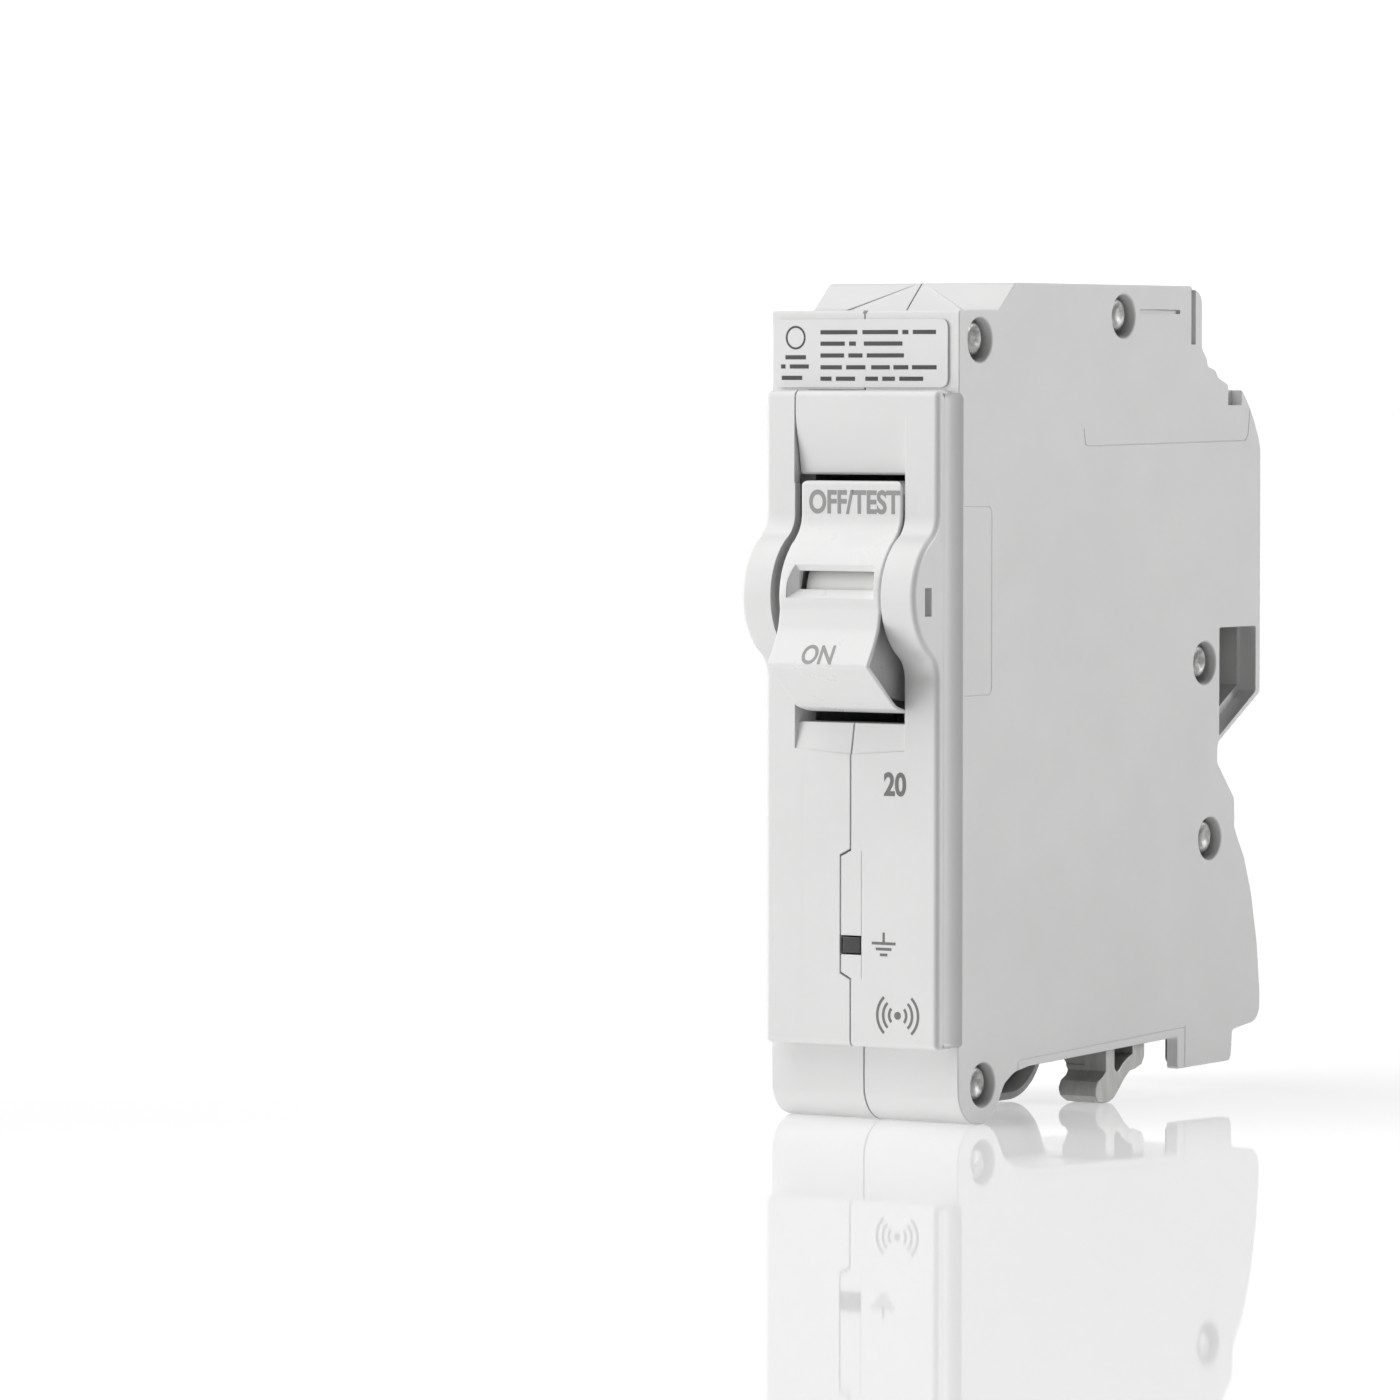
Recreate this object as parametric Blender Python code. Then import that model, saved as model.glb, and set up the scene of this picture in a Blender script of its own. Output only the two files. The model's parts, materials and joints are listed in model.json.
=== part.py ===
"""Plug-on, single-pole ground-fault circuit breaker, as its separate pieces.

Lengths are in millimetres and become metres where a mesh is made. X runs across the breaker, Y from
its front (0) to its rear, Z from its foot (0) to its top. An empty moves the whole breaker so that
the middle of its depth lies at the world's origin.
"""

import math

import bmesh
import bpy
from mathutils import Matrix, Vector

MM = 0.001

# Case
HALF_WIDTH = 12.7
TOP = 95.9
LEDGE = 92.7
REAR = 68.0
REAR_MOST = 68.2
WALL = 1.6
SEAM_GAP = 0.16
TOUCH_GAP = 0.05

# Raised bezel and the window that the handle fills
BEZEL_PROUD = 2.9
BEZEL_LEFT, BEZEL_RIGHT = -11.9, 11.8
BEZEL_LOW, BEZEL_HIGH = 8.8, 83.6
WINDOW_LEFT, WINDOW_RIGHT = -7.4, 7.6
WINDOW_LOW, WINDOW_HIGH = 45.7, 74.0
PAD_LOW = 42.1

# Handle, which turns about the centre of the round ears
PIVOT = (0.0, 60.2)
EAR_RADIUS = 8.0
EAR_BLEND = 3.2
HANDLE_LEFT, HANDLE_RIGHT = -6.6, 7.6 - 0.25
SHIELD_RADIUS = 13.35
SHIELD_WALL = 1.45
NOSE = (-10.4, 52.4)
HANDLE_WALL = 1.5
PIN_RADIUS = 1.2
RUNNING_GAP = 0.08

# Rivets, as (Y, Z)
RIVETS = {
    "rivet_top_front": (4.4, 89.3),
    "rivet_top_rear": (36.0, 92.2),
    "rivet_rear_upper": (54.9, 51.15),
    "rivet_rear_lower": (56.2, 30.2),
    "rivet_foot": (5.3, 4.4),
}
RIVET_SHANK = 1.1
RIVET_HOLE = 1.4
RIVET_HEAD = 1.85
COUNTERBORE = 2.45
COUNTERBORE_DEPTH = 1.5
BOSS_RADIUS = 3.3

# Switching linkage, as (Y, Z)
CRANK_RADIUS = 5.0
CRANK_ANGLE = -14.0
CRANK = (
    PIVOT[0] + CRANK_RADIUS * math.cos(math.radians(CRANK_ANGLE)),
    PIVOT[1] + CRANK_RADIUS * math.sin(math.radians(CRANK_ANGLE)),
)
ARM_PIVOT = (38.0, 50.0)
ARM_PIN = (36.0, 58.0)
TRIP_PIVOT = (30.0, 47.0)
CONTACT_HIGH = 66.0

# Overload coil
COIL_X, COIL_Y = -5.4, 18.0
COIL_LOW, COIL_HIGH = 19.0, 38.5
ARMATURE_PIVOT = (25.2, 44.4)

# Ground-fault solenoid and the two sensor rings
SOLENOID_X, SOLENOID_Y = -5.6, 37.5
SOLENOID_LOW, SOLENOID_HIGH = 20.5, 33.5
SENSOR_CENTRE = (0.6, 33.8)
SENSOR_OUTER, SENSOR_INNER = 9.6, 5.3
SENSOR_LOW, SENSOR_THICK = 10.7, 2.4

# Line jaw and strap
STRAP_FRONT = 46.65
STRAP_THICK = 1.5

# Circuit board
BOARD_X, BOARD_THICK = 8.2, 1.6


def clear_scene():
    for item in list(bpy.data.objects):
        bpy.data.objects.remove(item)


def material(name, colour, roughness, metallic=0.0):
    made = bpy.data.materials.new(name)
    made.use_nodes = True
    shader = made.node_tree.nodes["Principled BSDF"]
    shader.inputs["Base Color"].default_value = (*colour, 1.0)
    shader.inputs["Roughness"].default_value = roughness
    shader.inputs["Metallic"].default_value = metallic
    made.diffuse_color = (*colour, 1.0)
    return made


WHITE = ((0.86, 0.86, 0.84), 0.42)
NATURAL = ((0.78, 0.77, 0.72), 0.5)
BLACK = ((0.015, 0.015, 0.017), 0.25)
DARK_FIBRE = ((0.10, 0.07, 0.055), 0.7)
LABEL = ((0.88, 0.88, 0.87), 0.5)
STEEL = ((0.56, 0.56, 0.57), 0.38, 1.0)
DARK_STEEL = ((0.14, 0.13, 0.12), 0.5, 1.0)
TIN = ((0.62, 0.62, 0.60), 0.45, 1.0)
COPPER = ((0.72, 0.38, 0.24), 0.35, 1.0)
SILVER = ((0.80, 0.79, 0.76), 0.3, 1.0)
ENAMEL = ((0.45, 0.13, 0.05), 0.3)
BOARD = ((0.03, 0.17, 0.08), 0.4)
LED_WHITE = ((0.8, 0.85, 0.8), 0.2)
BLUE = ((0.05, 0.12, 0.35), 0.45)


def arc(centre, radius, start, end, steps):
    """Points on a circle in the YZ plane, angles in degrees from +Y towards +Z."""
    points = []
    for step in range(steps + 1):
        angle = math.radians(start + (end - start) * step / steps)
        points.append((centre[0] + radius * math.cos(angle), centre[1] + radius * math.sin(angle)))
    return points


def rectangle(low, high):
    return [low, (high[0], low[1]), high, (low[0], high[1])]


def mesh_object(name, bm):
    bmesh.ops.recalc_face_normals(bm, faces=bm.faces)
    mesh = bpy.data.meshes.new(name)
    bm.to_mesh(mesh)
    bm.free()
    made = bpy.data.objects.new(name, mesh)
    bpy.context.collection.objects.link(made)
    return made


def extruded(name, outline, low, high, axis="X"):
    """A prism: the outline lies across the axis, and the prism runs along it from low to high.

    The outline's two numbers are (Y, Z) for axis X, (X, Z) for Y and (X, Y) for Z.
    """

    def place(a, b, along):
        if axis == "X":
            return Vector((along, a, b)) * MM
        if axis == "Y":
            return Vector((a, along, b)) * MM
        return Vector((a, b, along)) * MM

    bm = bmesh.new()
    first = [bm.verts.new(place(a, b, low)) for a, b in outline]
    last = [bm.verts.new(place(a, b, high)) for a, b in outline]
    bm.faces.new(first)
    bm.faces.new(last[::-1])
    count = len(outline)
    for i in range(count):
        j = (i + 1) % count
        bm.faces.new((first[i], last[i], last[j], first[j]))
    return mesh_object(name, bm)


def block(name, low, high):
    return extruded(name, rectangle(low[1:], high[1:]), low[0], high[0])


def cylinder(name, centre, radius, low, high, axis="X", sides=16):
    """A round bar along an axis. centre holds the two coordinates across it."""
    return extruded(name, arc(centre, radius, 0, 360 - 360 / sides, sides - 1), low, high, axis)


def stepped(name, centre, steps, axis="X", sides=16):
    """A turned piece along an axis, from (position, radius) steps, with closed ends."""
    bm = bmesh.new()
    rings = []
    for along, radius in steps:
        ring = []
        for side in range(sides):
            angle = 2 * math.pi * side / sides
            a = centre[0] + radius * math.cos(angle)
            b = centre[1] + radius * math.sin(angle)
            where = {"X": (along, a, b), "Y": (a, along, b), "Z": (a, b, along)}[axis]
            ring.append(bm.verts.new(Vector(where) * MM))
        rings.append(ring)
    for lower, upper in zip(rings, rings[1:]):
        for side in range(sides):
            other = (side + 1) % sides
            bm.faces.new((lower[side], lower[other], upper[other], upper[side]))
    bm.faces.new(rings[0])
    bm.faces.new(rings[-1][::-1])
    return mesh_object(name, bm)


def tube(name, centre, inner, outer, low, high, axis="X", sides=24):
    bm = bmesh.new()
    rings = []
    for along, radius in ((low, inner), (low, outer), (high, outer), (high, inner)):
        ring = []
        for side in range(sides):
            angle = 2 * math.pi * side / sides
            a = centre[0] + radius * math.cos(angle)
            b = centre[1] + radius * math.sin(angle)
            where = {"X": (along, a, b), "Y": (a, along, b), "Z": (a, b, along)}[axis]
            ring.append(bm.verts.new(Vector(where) * MM))
        rings.append(ring)
    for index in range(4):
        lower, upper = rings[index], rings[(index + 1) % 4]
        for side in range(sides):
            other = (side + 1) % sides
            bm.faces.new((lower[side], lower[other], upper[other], upper[side]))
    return mesh_object(name, bm)


def wire(name, points, radius, sides=6):
    """A round wire through the points, with flat ends."""
    path = [Vector(point) for point in points]
    bm = bmesh.new()
    rings = []
    across = None
    for index, point in enumerate(path):
        ahead = path[min(index + 1, len(path) - 1)] - path[max(index - 1, 0)]
        ahead.normalize()
        if across is None:
            across = ahead.orthogonal()
        across = (across - ahead * across.dot(ahead)).normalized()
        other = ahead.cross(across)
        ring = []
        for side in range(sides):
            angle = 2 * math.pi * side / sides
            offset = across * math.cos(angle) + other * math.sin(angle)
            ring.append(bm.verts.new((point + offset * radius) * MM))
        rings.append(ring)
    for lower, upper in zip(rings, rings[1:]):
        for side in range(sides):
            other_side = (side + 1) % sides
            bm.faces.new((lower[side], lower[other_side], upper[other_side], upper[side]))
    bm.faces.new(rings[0][::-1])
    bm.faces.new(rings[-1])
    return mesh_object(name, bm)


def coil(name, start, end, radius, wire_radius, turns, per_turn=10, sides=6):
    """A helical spring from start to end."""
    first, last = Vector(start), Vector(end)
    along = last - first
    ahead = along.normalized()
    across = ahead.orthogonal().normalized()
    other = ahead.cross(across)
    points = []
    count = int(turns * per_turn)
    for step in range(count + 1):
        angle = 2 * math.pi * step / per_turn
        middle = first + along * (step / count)
        points.append(middle + (across * math.cos(angle) + other * math.sin(angle)) * radius)
    return wire(name, points, wire_radius, sides)


def boolean(target, operation, others):
    for other in others:
        modifier = target.modifiers.new("boolean", "BOOLEAN")
        modifier.operation = operation
        modifier.object = other
        graph = bpy.context.evaluated_depsgraph_get()
        mesh = bpy.data.meshes.new_from_object(target.evaluated_get(graph))
        target.modifiers.clear()
        target.data = mesh
        bpy.data.objects.remove(other)
    return target


def cut(target, *cutters):
    return boolean(target, "DIFFERENCE", cutters)


def join(target, *others):
    return boolean(target, "UNION", others)


def keep(target, region):
    return boolean(target, "INTERSECT", [region])


def finish(piece, finish_values, frame, pivot=(0.0, 0.0, 0.0), sharp=35):
    """Names the mesh, colours it, and puts the piece's origin on its pivot, under the frame."""
    piece.data.name = piece.name
    piece.data.materials.clear()
    piece.data.materials.append(material(piece.name, *finish_values))
    piece.data.shade_smooth()
    piece.data.set_sharp_from_angle(angle=math.radians(sharp))
    origin = Vector(pivot) * MM
    piece.data.transform(Matrix.Translation(-origin))
    piece.location = origin
    piece.parent = frame
    return piece


def at(pivot):
    return (0.0, pivot[0], pivot[1])


# ---------------------------------------------------------------- case


def case_outline():
    """The side view of both half shells: foot, front, ledge, chamfer, steps, hook, stab notch."""
    foot = arc((5.0, 4.2), 4.2, 330, 270, 4) + arc((4.2, 4.2), 4.2, 270, 190, 5)
    points = [(15.5, 5.9), (12.2, 5.4), (10.0, 4.2)]
    points += foot
    points += [(0.0, 5.0), (0.0, LEDGE), (8.5, LEDGE), (12.1, TOP)]
    points += arc((51.9, TOP - 2.2), 2.2, 90, 0, 4)
    points += [(54.1, 88.6), (55.3, 87.3), (55.5, 86.4), (57.3, 86.0), (57.9, 85.1), (59.9, 84.4)]
    points += [(61.5, 83.7), (63.5, 83.6)]
    points += arc((61.9, 77.9), 6.1, 62, 0, 5)
    points += [(REAR, 47.3), (58.1, 41.6), (57.9, 39.3), (62.0, 34.8), (62.1, 31.2)]
    points += [(64.4, 27.6), (66.1, 23.2), (67.5, 17.2), (REAR_MOST, 11.3)]
    points += arc((REAR_MOST - 2.2, 9.8), 2.2, 0, -80, 4)
    points += [(62.9, 7.2), (61.7, 7.0), (61.4, 3.9), (60.9, 3.4), (48.7, 3.2), (48.7, 7.0), (22.0, 6.1)]
    return points


def cavity_outline():
    """The hollow inside the shells, one wall in from the outline."""
    points = [(WALL, 9.6), (WALL, LEDGE - WALL), (9.1, LEDGE - WALL), (12.8, TOP - WALL)]
    points += [(49.4, TOP - WALL), (50.4, TOP - WALL - 1.0), (50.4, 86.8), (52.6, 85.6), (56.2, 83.6)]
    points += [(59.0, 80.6), (62.0, 80.4), (64.6, 79.8), (66.3, 77.0), (66.3, 48.2), (57.0, 42.8)]
    points += [(56.2, 42.0), (56.2, 38.8), (60.4, 34.1), (60.5, 30.8), (62.8, 27.0), (64.4, 22.8)]
    points += [(65.8, 17.0), (66.5, 11.3), (65.7, 9.2), (61.0, 8.8), (40.0, 8.6), (22.0, 7.8)]
    points += [(14.0, 7.6), (10.0, 8.4)]
    return points


def lobe_outline(inset=0.0):
    """The round skirt lobe below the left shell."""
    low = 0.15 + inset
    points = [(16.0 + inset, 9.0), (17.4 + inset, 4.6)]
    points += arc((22.6, 5.6), 5.6 - low, 205, 270, 5)
    points += arc((31.8, 8.3), 8.3 - low, 270, 360, 10)
    return points + [(40.0 - inset, 9.2)]


def ear_outline():
    """A bezel ear: the bezel's front, swelling to a round boss about the handle's pivot."""
    front = -BEZEL_PROUD
    reach = EAR_RADIUS + EAR_BLEND
    drop = -front + EAR_BLEND
    half = math.sqrt(reach * reach - drop * drop)
    tilt = math.degrees(math.asin(drop / reach))
    low = arc((front - EAR_BLEND, PIVOT[1] - half), EAR_BLEND, 0, 90 - tilt, 4)
    high = arc((front - EAR_BLEND, PIVOT[1] + half), EAR_BLEND, tilt - 90, 0, 4)
    boss = arc(PIVOT, EAR_RADIUS, 270 - tilt, 90 + tilt, 16)
    return [(1.0, low[0][1] - 1.0), (front, low[0][1] - 1.0)] + low + boss[1:-1] + high + [
        (front, high[-1][1] + 1.0),
        (1.0, high[-1][1] + 1.0),
    ]


def case_body():
    """Both shells in one, before they are parted."""
    body = extruded("case", case_outline(), -HALF_WIDTH, HALF_WIDTH)
    bezel = block(
        "bezel", (BEZEL_LEFT, -BEZEL_PROUD, BEZEL_LOW), (BEZEL_RIGHT, 1.0, BEZEL_HIGH)
    )
    left_ear = extruded("left_ear", ear_outline(), BEZEL_LEFT, WINDOW_LEFT)
    right_ear = extruded("right_ear", ear_outline(), WINDOW_RIGHT, BEZEL_RIGHT)
    lobe = extruded("lobe", lobe_outline(), -HALF_WIDTH, -SEAM_GAP / 2)
    join(body, bezel, left_ear, right_ear, lobe)
    cavity = extruded("cavity", cavity_outline(), -HALF_WIDTH + WALL, HALF_WIDTH - WALL)
    pocket = extruded("pocket", lobe_outline(inset=0.9), -HALF_WIDTH + 1.2, SEAM_GAP)
    cut(body, cavity, pocket)
    for name, (y, z) in RIVETS.items():
        if name != "rivet_foot":
            join(body, cylinder("boss", (y, z), BOSS_RADIUS, -HALF_WIDTH + 1, HALF_WIDTH - 1))
    for y, z in RIVETS.values():
        steps = [
            (-HALF_WIDTH - 1, COUNTERBORE + 0.2),
            (-HALF_WIDTH, COUNTERBORE + 0.2),
            (-HALF_WIDTH + 0.3, COUNTERBORE),
            (-HALF_WIDTH + COUNTERBORE_DEPTH, COUNTERBORE - 0.35),
            (-HALF_WIDTH + COUNTERBORE_DEPTH, RIVET_HOLE),
            (HALF_WIDTH - COUNTERBORE_DEPTH, RIVET_HOLE),
            (HALF_WIDTH - COUNTERBORE_DEPTH, COUNTERBORE - 0.35),
            (HALF_WIDTH - 0.3, COUNTERBORE),
            (HALF_WIDTH, COUNTERBORE + 0.2),
            (HALF_WIDTH + 1, COUNTERBORE + 0.2),
        ]
        cut(body, stepped("hole", (y, z), steps, sides=20))
    return body


def cut_front_openings(body):
    window = block("window", (WINDOW_LEFT, -20, WINDOW_LOW), (WINDOW_RIGHT, 3, WINDOW_HIGH))
    pad = extruded(
        "pad", [(-5, PAD_LOW), (-BEZEL_PROUD, PAD_LOW), (-1.9, WINDOW_LOW + 1), (-5, WINDOW_LOW + 1)],
        WINDOW_LEFT, WINDOW_RIGHT,
    )
    round_edge = [(-5, WINDOW_HIGH - 1), (1.0, WINDOW_HIGH - 1)]
    round_edge += [(0.9, WINDOW_HIGH)] + arc((0.9, 77.8), 3.8, 270, 180, 6) + [(-5, 77.8)]
    top_pad = extruded("top_pad", round_edge, WINDOW_LEFT, WINDOW_RIGHT)
    lens = block("lens", (-1.36, -5, 19.3), (1.47, 3, 21.5))
    pin = cylinder("pin", PIVOT, PIN_RADIUS + RUNNING_GAP, -9.9, 9.9)
    ear_slot = block("ear_slot", (10.3, -5.7, 58.1), (13, -4.3, 61.3))
    return cut(body, window, pad, top_pad, lens, pin, ear_slot)


def cut_side_and_rear_openings(body):
    hook_slot = block("hook_slot", (11.1, 51.5, 89.0), (14, 52.5, 95.4))
    corner_pocket = block("corner_pocket", (11.0, 59.5, 81.9), (14, 63.4, 83.0))
    recess = extruded(
        "recess", [(58.3, 43.5), (66.5, 48.3), (66.5, 55.2), (58.3, 55.2)], 10.5, 14
    )
    stab_slot = block("stab_slot", (-3.4, 55.5, 35.0), (3.4, 71, 46.0))
    jaw_slot = block("jaw_slot", (3.9, 32.6, -1), (11.0, 45.2, 10))
    clip_slot = block("clip_slot", (10.0, 49.6, 5), (10.98, 56.3, 10))
    flange_gap = block("flange_gap", (-14, 47.5, -1), (11.3, 62.3, 7.05))
    return cut(body, hook_slot, corner_pocket, recess, stab_slot, jaw_slot, clip_slot, flange_gap)


def seam_region(side, gap):
    """Everything on one side of the seam, which steps aside at the handle's pad and at the tongue."""
    far = 30.0
    if side == "right":
        region = block("right_region", (gap, -far, -far), (far, 100, 130))
        above = block("above", (WINDOW_LEFT + gap, -far, WINDOW_HIGH - 1), (1, 2, BEZEL_HIGH))
        tongue = block("tongue", (-1.36 + gap, -far, 16.6), (1, 2, 31.2))
        return join(region, above, tongue)
    region = block("left_region", (-far, -far, -far), (-gap, 100, 130))
    above = block(
        "above", (WINDOW_LEFT - gap, -far - 1, WINDOW_HIGH - 1), (1, 2.3, BEZEL_HIGH + SEAM_GAP)
    )
    tongue = block(
        "tongue", (-1.36 - gap, -far - 1, 16.6 - SEAM_GAP), (1, 2.3, 31.2 + SEAM_GAP)
    )
    return cut(region, above, tongue)


def case_shells(frame):
    body = cut_side_and_rear_openings(cut_front_openings(case_body()))
    right = body.copy()
    right.data = body.data.copy()
    bpy.context.collection.objects.link(right)
    body.name = "case_left"
    right.name = "case_right"
    keep(body, seam_region("left", SEAM_GAP / 2))
    keep(right, seam_region("right", SEAM_GAP / 2))
    finish(body, WHITE, frame)
    finish(right, WHITE, frame)


def rivets(frame):
    head = HALF_WIDTH - 0.35
    seat = HALF_WIDTH - COUNTERBORE_DEPTH + TOUCH_GAP
    for name, centre in RIVETS.items():
        steps = [
            (-head, RIVET_HEAD - 0.5),
            (-head + 0.4, RIVET_HEAD),
            (-seat, RIVET_HEAD),
            (-seat, RIVET_SHANK),
            (seat, RIVET_SHANK),
            (seat, RIVET_HEAD),
            (head - 0.4, RIVET_HEAD),
            (head, RIVET_HEAD - 0.5),
        ]
        finish(stepped(name, centre, steps), STEEL, frame)


def front_label(frame):
    piece = block("front_label", (-12.3, -0.25, 83.9), (11.3, -TOUCH_GAP, 91.7))
    finish(piece, LABEL, frame)


def status_lens(frame):
    piece = block("status_lens", (-1.16, -BEZEL_PROUD + 0.1, 19.45), (1.32, 1.4, 21.35))
    finish(piece, BLACK, frame)


# ---------------------------------------------------------------- handle


def handle_front():
    """The handle's outer surface from its top edge down to the end of its shield."""
    points = [(-3.2, 73.3), (-3.2, 69.4), (-3.5, 68.1), (-4.4, 66.9), (-5.6, 65.9)]
    points += arc(PIVOT, 7.9, 138, 191, 7)
    points += [(-8.1, 56.6), (-8.9, 54.9), NOSE, (-5.3, 48.25)]
    return points


def handle(frame):
    end = 302.0
    outline = handle_front() + arc(PIVOT, SHIELD_RADIUS, 250.8, end, 9)
    outline += arc(PIVOT, SHIELD_RADIUS - SHIELD_WALL, end, end - 8, 1)
    outline += [(7.2, 57.0), (7.2, 61.5), (2.4, 64.4), (-0.6, 73.3)]
    body = extruded("handle", outline, HANDLE_LEFT, HANDLE_RIGHT)
    hollow = [(-1.7, 71.8), (-1.7, 68.9), (-3.6, 65.6)]
    hollow += arc(PIVOT, 7.9 - HANDLE_WALL, 125, 200, 8)
    hollow += [(-7.6, 54.6), (-7.9, 52.2), (-4.6, 49.4)]
    hollow += arc(PIVOT, SHIELD_RADIUS - SHIELD_WALL, 253, end - 8, 7)
    hollow += [(12, 52), (12, 66), (3, 71.8)]
    side = 1.3
    cut(body, extruded("hollow", hollow, HANDLE_LEFT + side, HANDLE_RIGHT - side))
    cut(body, cylinder("pin_hole", PIVOT, PIN_RADIUS + RUNNING_GAP, -20, 20))
    cut(body, cylinder("link_hole", CRANK, 0.8 + RUNNING_GAP, HANDLE_LEFT + 0.6, HANDLE_RIGHT - 0.6))
    cut(body, handle_slot())
    finish(body, WHITE, frame, at(PIVOT))


def handle_slot():
    """The slot that the status flag shows through, with bevelled sides that widen outwards."""
    outer = [(-5.9, 59.9), (6.6, 59.9), (6.6, 64.6), (-5.9, 64.6)]
    inner = [(-4.9, 61.0), (5.5, 61.0), (5.5, 62.8), (-4.9, 62.8)]
    bm = bmesh.new()
    rings = []
    for y, corners in ((-9.5, outer), (-6.9, inner), (-5.0, inner)):
        rings.append([bm.verts.new(Vector((x, y, z)) * MM) for x, z in corners])
    for lower, upper in zip(rings, rings[1:]):
        for index in range(4):
            other = (index + 1) % 4
            bm.faces.new((lower[index], lower[other], upper[other], upper[index]))
    bm.faces.new(rings[0])
    bm.faces.new(rings[-1][::-1])
    return mesh_object("slot", bm)


def handle_pins(frame):
    finish(cylinder("handle_pin", PIVOT, PIN_RADIUS, -9.7, 9.7), STEEL, frame)
    pin = cylinder("link_pin", CRANK, 0.8, HANDLE_LEFT + 0.7, HANDLE_RIGHT - 0.7)
    finish(pin, STEEL, frame, at(PIVOT))


def status_flag(frame):
    outline = arc(PIVOT, 5.3, 140, 222, 9) + arc(PIVOT, 2.3, 235, 480, 12)
    flag = extruded("status_flag", outline, -4.7, 5.4)
    cut(flag, cylinder("hole", PIVOT, PIN_RADIUS + RUNNING_GAP, -20, 20))
    finish(flag, LABEL, frame, at(PIVOT))


# ---------------------------------------------------------------- switching parts


def strip(name, path, width, low, high):
    """A flat bar bent along a path in the YZ plane."""
    left, right = [], []
    for index, point in enumerate(path):
        before = Vector(path[max(index - 1, 0)])
        after = Vector(path[min(index + 1, len(path) - 1)])
        ahead = (after - before).normalized()
        normal = Vector((-ahead[1], ahead[0])) * width / 2
        left.append((point[0] + normal[0], point[1] + normal[1]))
        right.append((point[0] - normal[0], point[1] - normal[1]))
    return extruded(name, left + right[::-1], low, high)


def handle_link(frame):
    low, high = -2.6, -1.4
    bar = strip("handle_link", [CRANK, ARM_PIN], 2.4, low, high)
    join(
        bar,
        cylinder("eye", CRANK, 1.8, low, high, sides=20),
        cylinder("eye", ARM_PIN, 2.5, low, high, sides=20),
    )
    cut(
        bar,
        cylinder("hole", CRANK, 0.8 + RUNNING_GAP, low - 1, high + 1),
        cylinder("hole", ARM_PIN, 1.6, low - 1, high + 1),
    )
    finish(bar, STEEL, frame, at(CRANK))


def contact_arm(frame):
    low, high = -7.0, -4.0
    bar = strip("contact_arm", [ARM_PIVOT, (40.4, 56.5), (42.9, 62.5), (42.9, 68.6)], 2.3, low, high)
    tab = strip("tab", [(40.2, 56.6), ARM_PIN], 2.2, low, high)
    hub = cylinder("hub", ARM_PIVOT, 2.6, low, high, sides=20)
    ear = cylinder("ear", ARM_PIN, 1.5, low, high, sides=20)
    join(bar, tab, hub, ear)
    cut(
        bar,
        cylinder("hole", ARM_PIVOT, PIN_RADIUS + RUNNING_GAP, low - 1, high + 1),
        cylinder("hole", ARM_PIN, 0.8 + RUNNING_GAP, low - 1, high + 1),
    )
    finish(bar, COPPER, frame, at(ARM_PIVOT))
    finish(cylinder("arm_pin", ARM_PIN, 0.8, -7.4, -0.9), STEEL, frame, at(ARM_PIVOT))
    contact = block("moving_contact", (-7.0, 44.1, CONTACT_HIGH - 2.2), (-4.0, 45.2, CONTACT_HIGH + 2.2))
    finish(contact, SILVER, frame, at(ARM_PIVOT))


def line_terminal(frame):
    """Copper strap from the fixed contact down to the jaw that grips the panel's stab."""
    back = STRAP_FRONT + STRAP_THICK
    strap = block("line_terminal", (-7.5, STRAP_FRONT, 35.6), (-3.5, back, 70.0))
    base = block("base", (-4.0, STRAP_FRONT, 35.6), (2.8, back, 45.4))
    join(strap, base)
    for side in (-1, 1):
        finger = [
            (side * 1.5, STRAP_FRONT + 0.3),
            (side * 1.5, 50.0),
            (side * 1.0, 53.2),
            (side * 2.0, 56.4),
            (side * 3.0, 56.4),
            (side * 2.1, 53.2),
            (side * 2.6, 50.0),
            (side * 2.6, STRAP_FRONT + 0.3),
        ]
        join(strap, extruded("finger", finger, 35.9, 45.1, axis="Z"))
    finish(strap, COPPER, frame)
    contact = block(
        "fixed_contact", (-7.0, 45.5, CONTACT_HIGH - 2.2),
        (-4.0, STRAP_FRONT - TOUCH_GAP, CONTACT_HIGH + 2.2),
    )
    finish(contact, SILVER, frame)


def mechanism_frame(frame):
    """Steel plate on the left wall that holds the pivots of the arm, the trip lever and the armature."""
    outline = [(23.4, 42.6), (41.0, 41.6), (42.0, 54.0), (37.0, 56.0), (28.0, 52.0), (23.4, 49.0)]
    plate = extruded("mechanism_frame", outline, -10.6, -9.6)
    cut(plate, cylinder("hole", ARM_PIVOT, PIN_RADIUS + RUNNING_GAP, -12, -9))
    for centre in (TRIP_PIVOT, ARMATURE_PIVOT):
        cut(plate, cylinder("hole", centre, 0.9 + RUNNING_GAP, -12, -9))
    finish(plate, STEEL, frame)
    finish(cylinder("arm_pivot_pin", ARM_PIVOT, PIN_RADIUS, -10.9, 1.3), STEEL, frame)
    finish(cylinder("trip_pin", TRIP_PIVOT, 0.9, -10.9, 1.3), STEEL, frame)
    finish(cylinder("armature_pin", ARMATURE_PIVOT, 0.9, -10.9, -1.0), STEEL, frame)


def divider_plate(frame):
    """Insulating wall between the switching half and the electronics half."""
    outline = [(15.5, 20.0), (49.0, 20.0), (49.0, 34.4), (46.2, 34.4), (46.2, 46.4), (49.0, 46.4)]
    outline += [(49.0, 88.0), (15.5, 88.0)]
    plate = extruded("divider_plate", outline, -0.1, 0.9)
    cut(plate, cylinder("hole", ARM_PIVOT, PIN_RADIUS + RUNNING_GAP, -1, 3))
    cut(plate, cylinder("hole", TRIP_PIVOT, 0.9 + RUNNING_GAP, -1, 3))
    finish(plate, NATURAL, frame)


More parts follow.
